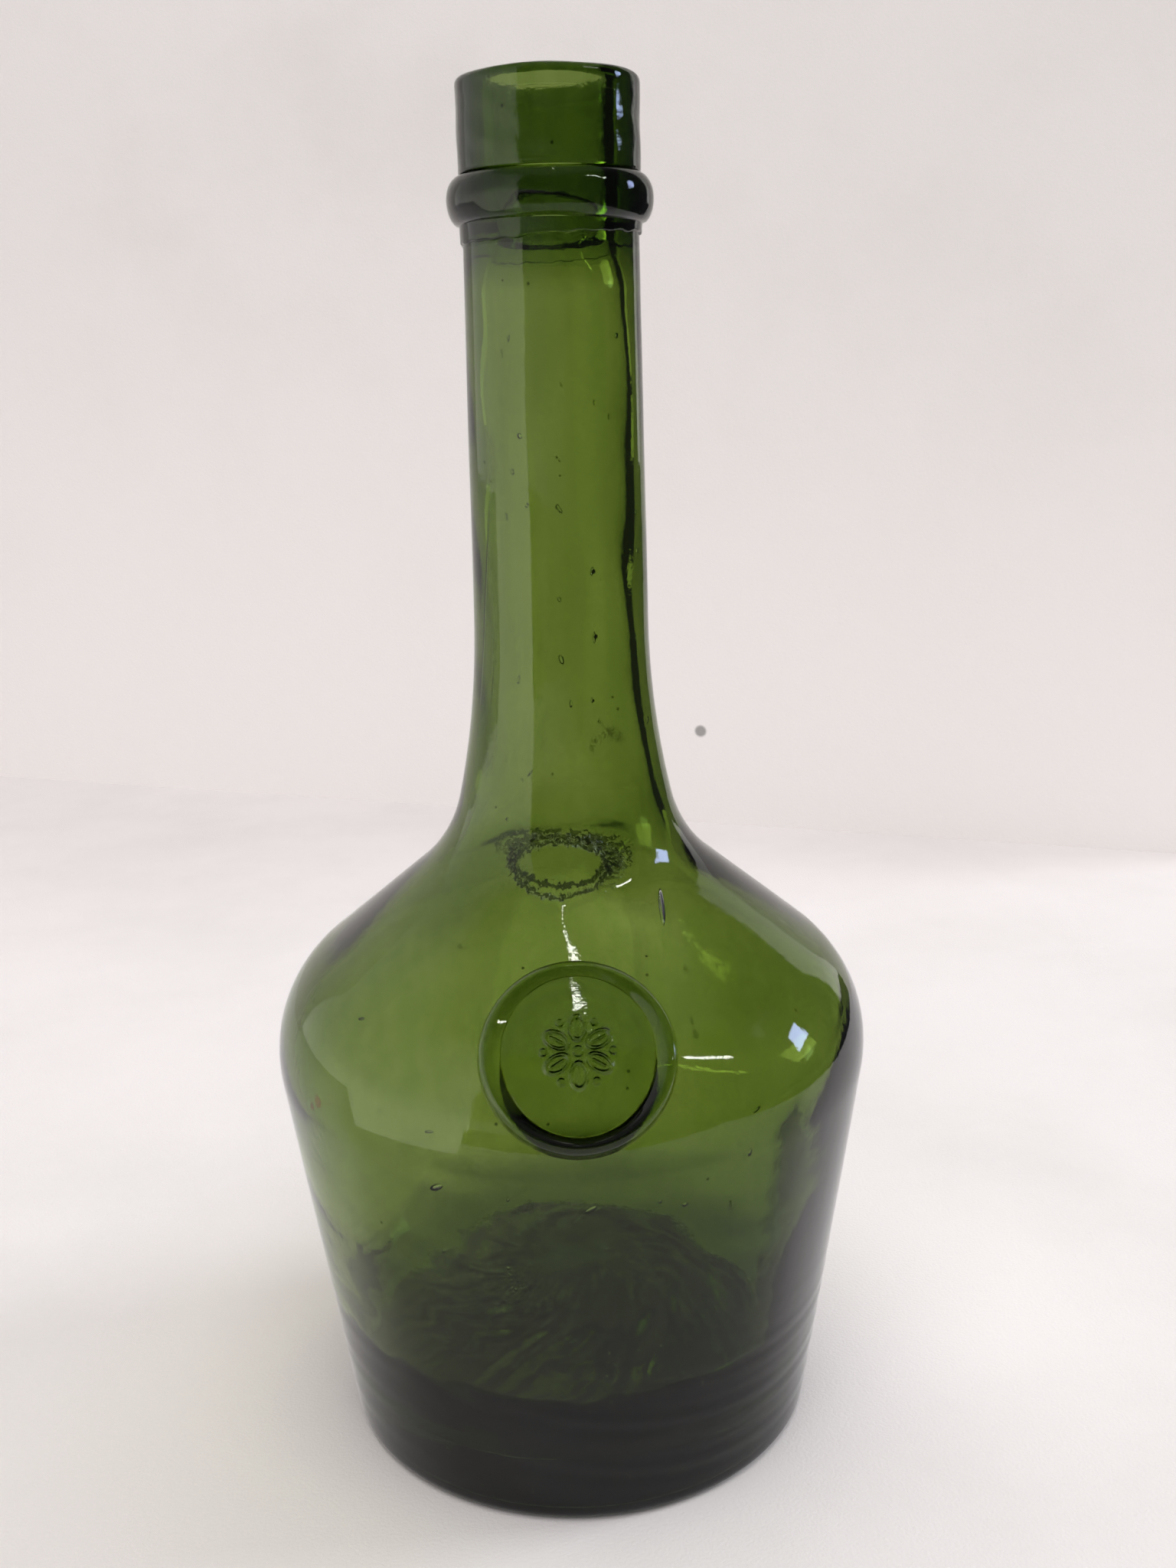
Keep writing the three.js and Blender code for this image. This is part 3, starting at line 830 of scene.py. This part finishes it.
# dark stones and a rusty stain in the body's glass, and two dark jagged rings at the root of the neck
marks = dict(
    stones=[dict(place=(5.9, -15.1, 171.4), size=0.55, colour=(0.01, 0.012, 0.006, 1)),
            dict(place=(6.1, -15.2, 159.8), size=0.5, colour=(0.01, 0.012, 0.006, 1)),
            dict(place=(5.4, -16.1, 148.4), size=0.3, colour=(0.012, 0.015, 0.008, 1)),
            dict(place=(-45.7, -35.2, 80.6), size=1.5, colour=(1.0, 0.26, 0.01, 1)),
            dict(place=(-47.0, -33.6, 79.0), size=0.9, colour=(0.7, 0.12, 0.01, 1))],
    stoneEdge=dict(ragged=(1100.0, 2.0), raggedShare=0.9, soft=1.45),
    darkRings=dict(middle=(-1.4, 119.4), half=(8.5, 4.1), jag=(0.9, 900.0, 4.0, 0.75, (1, 1, 0.5)),
              broad=(0.3, 90.0, 2.0), innerLine=(1.0, 0.04, 0.112), outerLine=(1.18, 0.096, 0.24),
              hatch=(1300.0, 3.0, 0.6, (0.45, 1, 1)), hatchFrom=(0.47, 0.53), slant=0.5, upperFrom=(-0.9, 0.3),
              outerShare=0.85, share=0.96, raised=0.5, colour=(0.004, 0.008, 0.002, 1)),
    # dirt in the line round the seal's disc and at its foot, and painted shade in the lower half of its groove
    dirt=dict(edge=seal["faceRadius"] + 0.05, line=(0.02, 0.16), patches=700.0, patchesFrom=(0.42, 0.6),
              foot=0.55, footFrom=(-0.15, 0.05), share=0.8, colour=(0.30, 0.17, 0.11, 1)),
    paintedGrooveShade=dict(depth=2.8, ragged=(0.5, 800.0), inner=(0.0, 0.15), outer=(-0.1, 0.2), share=0.97,
               colour=(0.002, 0.002, 0.002, 1)),
    # the part of the wall's surface that the seal covers, which lies before this y
    covered=dict(inset=0.02, front=-30.0),
)


def cordGroup():
    # cords: streaks in the melt, drawn out along the height
    inputs = {"Vector": None, "Fineness": 1.0, "Drawn Out": 0.06}
    tree, given, result = makeGroup("glassCords", inputs, "Cords")
    squeezed = placeNode(tree, "ShaderNodeCombineXYZ", (1.0, 1.0, given["Drawn Out"])).outputs[0]
    shaped = vectorNode(tree, "MULTIPLY", given["Vector"], squeezed)
    values = {"Vector": shaped, "Scale": times(tree, given["Fineness"], melt["cords"]),
              "Detail": melt["cordDetail"]}
    fine = placeNode(tree, "ShaderNodeTexNoise", values).outputs[0]
    feed(tree, result, rangeNode(tree, fine, *melt["cordsFrom"]))
    return tree


def speckGroup():
    # specks: small round spots in cells, of which only some hold one
    inputs = {"Vector": None, "Spread": 160.0, "Size": 0.1, "Share": 0.3}
    tree, given, result = makeGroup("surfaceSpecks", inputs, "Specks")
    values = {"Vector": given["Vector"], "Scale": given["Spread"]}
    cells = placeNode(tree, "ShaderNodeTexVoronoi", values).outputs
    spot = isUnder(tree, cells["Distance"], given["Size"])
    parts = placeNode(tree, "ShaderNodeSeparateColor", [cells["Color"]]).outputs
    feed(tree, result, times(tree, spot, isUnder(tree, parts[0], given["Share"])))
    return tree


cords, specks = cordGroup(), speckGroup()


def sealPlace(tree, place, wide=1.0, tall=1.0):
    # distance from the seal's own axis in millimetres, or in the two given units across and up
    offset = offsetFrom(tree, place, sealCentre)
    across = vectorNode(tree, "DOT_PRODUCT", offset, tuple(sealAcross))
    up = vectorNode(tree, "DOT_PRODUCT", offset, tuple(sealUp))
    return lengthOf(tree, over(tree, across, wide * mm), over(tree, up, tall * mm))


def darkRingLines(tree, place):
    # two jagged oval lines on the front of the neck's root, one inside the other
    darkRings = marks["darkRings"]
    x, y, z = splitPlace(tree, place)
    across, upward = [times(tree, minus(tree, value, middle * mm), 1 / (half * mm))
                      for value, middle, half in zip((x, z), darkRings["middle"], darkRings["half"])]
    jag, broad = wander(tree, place, *darkRings["jag"]), wander(tree, place, *darkRings["broad"])
    reach = plus(tree, lengthOf(tree, across, upward), plus(tree, jag, broad))
    inner, outer = lineAt(tree, reach, *darkRings["innerLine"]), lineAt(tree, reach, *darkRings["outerLine"])
    hatch = rangeNode(tree, noiseNode(tree, place, *darkRings["hatch"]), *darkRings["hatchFrom"])
    above = rangeNode(tree, plus(tree, upward, times(tree, across, darkRings["slant"])), *darkRings["upperFrom"])
    outer = times(tree, times(tree, times(tree, outer, hatch), above), darkRings["outerShare"])
    return times(tree, larger(tree, inner, outer), isUnder(tree, y, 0.0))


def bodyMarks(tree, place, colour, grain):
    # the two dark jagged rings, which are also slightly raised, the stones and the stain
    darkRings, edge = darkRingLines(tree, place), marks["stoneEdge"]
    colour = mixColours(tree, times(tree, darkRings, marks["darkRings"]["share"]), colour, marks["darkRings"]["colour"])
    for stone in marks["stones"]:
        size = stone["size"] * mm
        wobble = times(tree, noiseNode(tree, place, *edge["ragged"]), edge["raggedShare"] * size)
        reach = plus(tree, vectorNode(tree, "LENGTH", offsetFrom(tree, place, stone["place"])), wobble)
        spot = minus(tree, 1.0, rangeNode(tree, reach, size, edge["soft"] * size))
        colour = mixColours(tree, spot, colour, stone["colour"])
    return colour, plus(tree, grain, times(tree, darkRings, marks["darkRings"]["raised"]))


def sealMarks(tree, place, colour):
    dirt, paintedGrooveShade = marks["dirt"], marks["paintedGrooveShade"]
    fromMiddle = sealPlace(tree, place, seal["narrow"], seal["tall"])
    line = lineAt(tree, fromMiddle, dirt["edge"], *dirt["line"])
    line = times(tree, line, rangeNode(tree, noiseNode(tree, place, dirt["patches"]), *dirt["patchesFrom"]))
    foot = rangeNode(tree, sealPlace(tree, place), *[seal["radius"] + end for end in dirt["footFrom"]])
    share = larger(tree, line, times(tree, foot, dirt["foot"]))
    colour = mixColours(tree, times(tree, share, dirt["share"]), colour, dirt["colour"])
    # painted shade: near black in the lower half of the groove, where the dark crescent lies
    below = vectorNode(tree, "DOT_PRODUCT", offsetFrom(tree, place, sealCentre), tuple(sealUp))
    below = times(tree, below, -paintedGrooveShade["depth"] / seal["faceRadius"] / mm)
    edge = minus(tree, fromMiddle, dirt["edge"])
    spare = minus(tree, plus(tree, below, wander(tree, place, *paintedGrooveShade["ragged"])), edge)
    band = times(tree, rangeNode(tree, edge, *paintedGrooveShade["inner"]), rangeNode(tree, spare, *paintedGrooveShade["outer"]))
    return mixColours(tree, times(tree, band, paintedGrooveShade["share"]), colour, paintedGrooveShade["colour"])


def wallShare(tree, radius, height):
    # 1 on the wall's outside and 0 on its inside, round the shoulder and dome: the distance from the
    # axis against that of the middle of the wall at the same height, as a curve
    low, high, unit = 60.0, 125.0, 100.0
    outline, normals = wallTable()
    middle = outline - normals * body["wall"] / 2
    samples = np.linspace(0.0, 1.0, 24)
    radii = np.interp(low + (high - low) * samples, middle[:, 1], middle[:, 0]) / unit
    share = rangeNode(tree, height, low * mm, high * mm, soft=False)
    curve = placeNode(tree, "ShaderNodeFloatCurve", {"Value": share})
    points = curve.mapping.curves[0].points
    points[0].location = (samples[0], radii[0])
    points[1].location = (samples[-1], radii[-1])
    for sample, reach in zip(samples[1:-1], radii[1:-1]):
        points.new(sample, reach)
    curve.mapping.update()
    return isOver(tree, times(tree, radius, 1 / (unit * mm)), curve.outputs[0])


def underSeal(tree, place):
    # under the seal the two gathers are one glass, so the wall's own surface isn't seen there
    x, y, z = splitPlace(tree, place)
    inside = isUnder(tree, sealPlace(tree, place), seal["contact"] - marks["covered"]["inset"])
    front = isUnder(tree, y, marks["covered"]["front"] * mm)
    outside = wallShare(tree, lengthOf(tree, x, y), z)
    return times(tree, times(tree, inside, front), outside)


def makeGlass(name):
    finish = glass[name]
    material = bpy.data.materials.new(name)
    material.use_nodes = True
    tree = material.node_tree
    tree.nodes.clear()
    place = tree.nodes.new("ShaderNodeTexCoord").outputs["Object"]
    streaks = placeGroup(tree, cords, {"Vector": place, "Fineness": finish["cordSize"]})
    spreading = {"Spread": melt["speckSpread"], "Size": melt["speckSize"], "Share": finish["specks"]}
    spots = placeGroup(tree, specks, {"Vector": place, **spreading})
    colour = mixColours(tree, times(tree, streaks, melt["streakShare"]), finish["tint"], finish["streak"])
    colour = mixColours(tree, times(tree, spots, melt["speckShare"]), colour, melt["speckColour"])
    grain = times(tree, noiseNode(tree, place, *melt["grain"]), finish["grain"])
    wear = rangeNode(tree, noiseNode(tree, place, *melt["wear"]), *melt["wearFrom"])
    rough = plus(tree, times(tree, wear, finish["worn"]), finish["roughness"])
    hidden = placeNode(tree, "ShaderNodeAttribute", {}, attribute_name="fused").outputs["Fac"]
    if name == "sealGlass":
        colour = sealMarks(tree, place, colour)
    if name == "bodyGlass":
        colour, grain = bodyMarks(tree, place, colour, grain)
        hidden = larger(tree, hidden, underSeal(tree, place))
    shader = placeNode(tree, "ShaderNodeBsdfPrincipled", {
        "Base Color": colour, "Metallic": 0.0, "Roughness": rough, "IOR": finish["ior"],
        "Alpha": minus(tree, 1.0, hidden, clamp=True), "Transmission Weight": 1.0})
    addBump(tree, shader, grain, *melt["bump"])
    depth = {"Color": finish["absorb"], "Density": finish["density"]}
    inside = placeNode(tree, "ShaderNodeVolumeAbsorption", depth).outputs[0]
    placeNode(tree, "ShaderNodeOutputMaterial", {"Surface": shader.outputs[0], "Volume": inside})
    return material


for piece in (bodyGlass, lipGlass, ringGlass, sealGlass):
    piece.data.materials.append(makeGlass(piece.name))
print("glass materials ready")


# room, drawn by direction from the bottle: azimuth from -Y towards +X, and elevation

room = dict(
    pale=(0.57, 0.56, 0.555, 1), bright=(1.15, 1.13, 1.08, 1), eyeLevel=(1.5, 1.49, 1.3, 1),
    above=(0.86, 0.85, 0.8, 1), upper=(0.42, 0.42, 0.41, 1), ceiling=(0.16, 0.16, 0.16, 1),
    dim=(0.05, 0.05, 0.055, 1), dimNear=(0.36, 0.36, 0.35, 1),
    # fields of direction: the part behind and on the left that is bright at eye level, the dim side on the
    # right and in front, and what stands near in front
    brightest=dict(az=(-110, -20), el=(-91, 91), softness=14.0), brightestFrom=(-35.0, -8.0),
    dimSide=dict(az=(-38.0, 133.0), el=(-91, 91), softness=1.0),
    near=dict(az=(-60, 60), el=(-15, 8), softness=5.0), nearFrom=(25.0, -38.0),
    # elevations between which one brightness passes into the next
    aboveFrom=(-3.0, 18.0), upperFrom=(5.0, 65.0), ceilingFrom=(48.0, 62.0),
)
# lights that the glass mirrors: a window on the right and two strip lights overhead
mirroredLights = [
    dict(colour=(6.5, 7.6, 13.0, 1), az=(95.2, 104.0), el=(8.2, 19.2), softness=0.3, shear=-0.35),
    dict(colour=(24, 24, 23, 1), az=(9.5, 30.0), el=(81.3, 82.5), softness=0.2, shear=0.109),
    dict(colour=(24, 24, 23, 1), az=(53.0, 70.0), el=(42.9, 45.2), softness=0.2, shear=0.82),
]


def patchGroup():
    # 1 inside a field of directions, whose lower and upper edges may slant
    inputs = {"Azimuth": 0.0, "Elevation": 0.0, "Left": 0.0, "Right": 10.0, "Low": 0.0, "High": 10.0,
              "Softness": 1.0, "Shear": 0.0}
    tree, given, result = makeGroup("directionPatch", inputs, "Mask")
    fromLeft = minus(tree, given["Azimuth"], given["Left"])
    height = mathStep("MULTIPLY_ADD")(tree, fromLeft, given["Shear"], given["Elevation"])

    def ramp(value, edge, sign):
        return over(tree, times(tree, minus(tree, value, given[edge]), sign), given["Softness"], clamp=True)

    sides = times(tree, ramp(given["Azimuth"], "Left", 1.0), ramp(given["Azimuth"], "Right", -1.0))
    ends = times(tree, ramp(height, "Low", 1.0), ramp(height, "High", -1.0))
    feed(tree, result, times(tree, sides, ends))
    return tree


def makeWorld():
    world = bpy.data.worlds.new("studioRoom")
    world.use_nodes = True
    scene.world = world
    tree = world.node_tree
    x, y, z = splitPlace(tree, tree.nodes.new("ShaderNodeTexCoord").outputs["Generated"])
    azimuth = times(tree, mathStep("ARCTAN2")(tree, x, times(tree, y, -1.0)), 180 / math.pi)
    elevation = times(tree, mathStep("ARCSINE")(tree, z), 180 / math.pi)
    patches = patchGroup()

    def patch(az, el, softness, shear=0.0):
        values = {"Azimuth": azimuth, "Elevation": elevation, "Left": az[0], "Right": az[1], "Low": el[0],
                  "High": el[1], "Softness": softness, "Shear": shear}
        return placeGroup(tree, patches, values)

    def above(levels, low, high):
        # passes from one colour to another with the elevation
        return mixColours(tree, rangeNode(tree, elevation, *levels), low, high)

    # the pale side of the room is brightest at eye level and falls off upwards
    brightest = times(tree, patch(**room["brightest"]), rangeNode(tree, elevation, *room["brightestFrom"]))
    sideLight = mixColours(tree, brightest, room["bright"], room["eyeLevel"])
    sideLight = above(room["upperFrom"], above(room["aboveFrom"], sideLight, room["above"]), room["upper"])
    near = times(tree, patch(**room["near"]), rangeNode(tree, azimuth, *room["nearFrom"]))
    dimSide = mixColours(tree, near, room["dim"], room["dimNear"])
    colour = mixColours(tree, patch(**room["dimSide"]), sideLight, dimSide)
    colour = above(room["ceilingFrom"], colour, room["ceiling"])
    for light in mirroredLights:
        share = patch(light["az"], light["el"], light["softness"], light["shear"])
        colour = mixColours(tree, share, colour, light["colour"])
    mirrored = isOver(tree, tree.nodes.new("ShaderNodeLightPath").outputs["Glossy Depth"], 0.5)
    feed(tree, tree.nodes["Background"].inputs["Color"], mixColours(tree, mirrored, room["pale"], colour))


makeWorld()


# floor and backdrop

stage = dict(farLeft=(-307.8, 542.1), farRight=(261.6, 347.4), wallLeft=-1100.0, wallRight=300.0,
             wallHeight=1500.0, floorHalf=3000.0, clothNear=-330.0, clothRight=420.0)
# what cloth and wall share: the noise of their mottling and where it starts, and their dull surface
dull = dict(mottle=(9.0, 5.0, 0.6), mottleFrom=(0.35, 0.75), roughness=0.9, shine=0.15, bump=(0.25, 0.0005))
wall = dict(
    colour=(0.86, 0.83, 0.82, 1), stain=(0.80, 0.77, 0.755, 1), weave=900.0,
    # painted light towards the foot
    foot=(360.0, 0.0), paintedLightFootColour=(1.0, 0.965, 0.955, 1),
    # painted shade towards the right
    right=(-300.0, 300.0), paintedShadeRightShare=0.07, paintedShadeRightColour=(0.2, 0.19, 0.19, 1),
    fleck=(63.1, 415.2, 44.0), fleckSize=(3.4, 1.8), fleckColour=(0.40, 0.385, 0.38, 1),
)
cloth = dict(
    colour=(0.86, 0.825, 0.83, 1), stain=(0.80, 0.77, 0.77, 1), weave=1500.0, around=(150.0, 60.0),
    # painted light on the cloth near the bottle, behind on the right
    paintedLightRight=(0.0, 40.0), paintedLightBack=(-45.0, 15.0), paintedLightColour=(0.97, 0.935, 0.94, 1),
    # painted shadow on the cloth to the left of the bottle
    paintedShadowLeft=(0.0, -40.0), paintedShadowColour=(0.80, 0.76, 0.74, 1),
    # painted shade under the bottle
    under=(45.5, 41.0), paintedUnderShadeColour=(0.012, 0.011, 0.011, 1),
    # painted reflection, a glowing stand-in that only the glass mirrors: duller before the bottle, brighter
    # behind, and where it ends on the left
    behind=(-50.0, 0.0), before=(0.22, 0.215, 0.215, 1), beyond=(1.05, 1.02, 1.02, 1), share=0.35,
    leftEnd=dict(turn=38.0, reach=250.0, front=-50.0),
)


def planeMesh(name, corners):
    mesh = bpy.data.meshes.new(name)
    mesh.from_pydata((np.asarray(corners) * mm).tolist(), [], [tuple(range(len(corners)))])
    mesh.update()
    plane = bpy.data.objects.new(name, mesh)
    scene.collection.objects.link(plane)
    return plane


def wallLine(x):
    (x0, y0), (x1, y1) = stage["farLeft"], stage["farRight"]
    return y0 + (y1 - y0) * (x - x0) / (x1 - x0)


def rangeOf(tree, value, limits):
    # rangeNode for a length, with its limits in millimetres
    return rangeNode(tree, value, limits[0] * mm, limits[1] * mm)


def wallShade(tree, place, shade):
    # painted light that makes it paler towards its foot, painted shade that makes it a little darker to the
    # right, and one fleck
    x, y, z = splitPlace(tree, place)
    shade = mixColours(tree, rangeOf(tree, z, wall["foot"]), shade, wall["paintedLightFootColour"])
    # painted shade, darker to the right
    right = times(tree, rangeOf(tree, x, wall["right"]), wall["paintedShadeRightShare"])
    shade = mixColours(tree, right, shade, wall["paintedShadeRightColour"])
    fleck = vectorNode(tree, "LENGTH", offsetFrom(tree, place, wall["fleck"]))
    return mixColours(tree, rangeOf(tree, fleck, wall["fleckSize"]), shade, wall["fleckColour"])


def wallShown(tree, place, path):
    # the camera may stand behind the wall in the other views, so its back is clear to the camera
    back = tree.nodes.new("ShaderNodeNewGeometry").outputs["Backfacing"]
    return tree.nodes.new("ShaderNodeBsdfTransparent"), times(tree, back, path["Is Camera Ray"])


def clothShade(tree, place, shade):
    # painted light near the bottle behind on the right, painted shadow on the left, and painted shade under the
    # bottle, where hardly any light comes
    reach = vectorNode(tree, "LENGTH", place)
    x, y, z = splitPlace(tree, place)
    near = rangeOf(tree, reach, cloth["around"])
    paintedLight = times(tree, near, rangeOf(tree, x, cloth["paintedLightRight"]))
    paintedLight = times(tree, paintedLight, rangeOf(tree, y, cloth["paintedLightBack"]))
    shade = mixColours(tree, paintedLight, shade, cloth["paintedLightColour"])
    # painted shadow on the left of the bottle
    paintedShadowLeft = times(tree, near, rangeOf(tree, x, cloth["paintedShadowLeft"]))
    shade = mixColours(tree, paintedShadowLeft, shade, cloth["paintedShadowColour"])
    # painted shade under the bottle, where hardly any light comes
    return mixColours(tree, rangeOf(tree, reach, cloth["under"]), shade, cloth["paintedUnderShadeColour"])


def clothShown(tree, place, path):
    # painted reflection, a glowing stand-in that only mirrored rays meet: what the glass mirrors beyond the near
    # edge of the cloth is the dim room, and of the cloth itself the part behind the bottle looks brighter and
    # the part before it duller
    x, y, z = splitPlace(tree, place)
    near, right = isUnder(tree, y, stage["clothNear"] * mm), isOver(tree, x, stage["clothRight"] * mm)
    end = cloth["leftEnd"]
    leftOf = isUnder(tree, x, times(tree, y, math.tan(math.radians(end["turn"]))))
    farOff = isOver(tree, vectorNode(tree, "LENGTH", place), end["reach"] * mm)
    farLeft = times(tree, times(tree, leftOf, farOff), isUnder(tree, y, end["front"] * mm))
    offCloth = larger(tree, larger(tree, near, right), farLeft)
    colour = mixColours(tree, rangeOf(tree, y, cloth["behind"]), cloth["before"], cloth["beyond"])
    colour = mixColours(tree, offCloth, colour, room["dim"])
    colour = mixColours(tree, farLeft, colour, room["eyeLevel"])
    glow = placeNode(tree, "ShaderNodeEmission", {"Color": colour})
    mirrored = isOver(tree, path["Glossy Depth"], 0.5)
    return glow, times(tree, larger(tree, offCloth, cloth["share"]), mirrored)


def stageMaterial(name, finish, shadeIt, showIt):
    # a dull, faintly mottled surface, and what some rays meet instead of it
    material = bpy.data.materials.new(name)
    material.use_nodes = True
    tree = material.node_tree
    shader = tree.nodes["Principled BSDF"]
    place = tree.nodes.new("ShaderNodeTexCoord").outputs["Object"]
    mottle = rangeNode(tree, noiseNode(tree, place, *dull["mottle"]), *dull["mottleFrom"])
    shade = shadeIt(tree, place, mixColours(tree, mottle, finish["colour"], finish["stain"]))
    feed(tree, shader.inputs["Base Color"], shade)
    shader.inputs["Roughness"].default_value = dull["roughness"]
    shader.inputs["Specular IOR Level"].default_value = dull["shine"]
    addBump(tree, shader, noiseNode(tree, place, finish["weave"]), *dull["bump"])
    other, share = showIt(tree, place, tree.nodes.new("ShaderNodeLightPath").outputs)
    mix = placeNode(tree, "ShaderNodeMixShader", (share, shader.outputs[0], other.outputs[0]))
    feed(tree, tree.nodes["Material Output"].inputs["Surface"], mix.outputs[0])
    return material


half = stage["floorHalf"]
floor = planeMesh("paleFloor", [(-half, -half, 0), (half, -half, 0), (half, half, 0), (-half, half, 0)])
floor.data.materials.append(stageMaterial("clothPale", cloth, clothShade, clothShown))
left, right, top = stage["wallLeft"], stage["wallRight"], stage["wallHeight"]
wallCorners = [(x, wallLine(x), z) for x, z in ((left, 0), (right, 0), (right, top), (left, top))]
backdrop = planeMesh("paleWall", wallCorners)
backdrop.data.materials.append(stageMaterial("wallPale", wall, wallShade, wallShown))


# light

# directions as azimuth and elevation; distance and side are metres
lampAim = (0.0, 0.0, 100.0)
lamps = dict(
    windowLight=dict(direction=(98.0, 26.0), distance=2.4, side=0.8, power=19.5, colour=(0.93, 0.96, 1.0)),
    ceilingLight=dict(direction=(-10.0, 68.0), distance=1.8, side=1.4, power=16.2, colour=(1.0, 0.98, 0.96)),
)


def addLamp(name, direction, distance, side, power, colour):
    # an area light that faces lampAim
    light = bpy.data.lights.new(name, "AREA")
    light.shape = "RECTANGLE"
    light.size = light.size_y = side
    light.energy, light.color = power, colour
    azimuth, elevation = direction
    level = cosine(elevation)
    away = Vector((sine(azimuth) * level, -cosine(azimuth) * level, sine(elevation)))
    lamp = bpy.data.objects.new(name, light)
    lamp.location = away * distance + Vector(lampAim) * mm
    lamp.rotation_mode = "QUATERNION"
    lamp.rotation_quaternion = away.to_track_quat("Z", "Y")
    lamp.visible_glossy = lamp.visible_camera = False
    scene.collection.objects.link(lamp)


for name, lamp in lamps.items():
    addLamp(name, **lamp)
print("floor, backdrop and light ready")

scene.view_settings.view_transform = "Standard"
scene.cycles.max_bounces = 24
scene.cycles.transmission_bounces = 24
scene.cycles.glossy_bounces = 8
scene.cycles.transparent_max_bounces = 40
scene.cycles.blur_glossy = 0.2
scene.cycles.sample_clamp_indirect = 12.0

# hand over to the frame

for piece, node, slot in (
    (bodyGlass, "bottle_body", "body_glass"), (lipGlass, "lip_band", "lip_glass"),
    (ringGlass, "string_ring", "ring_glass"), (sealGlass, "applied_seal", "seal_glass"),
):
    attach(piece, "root")
    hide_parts(node)
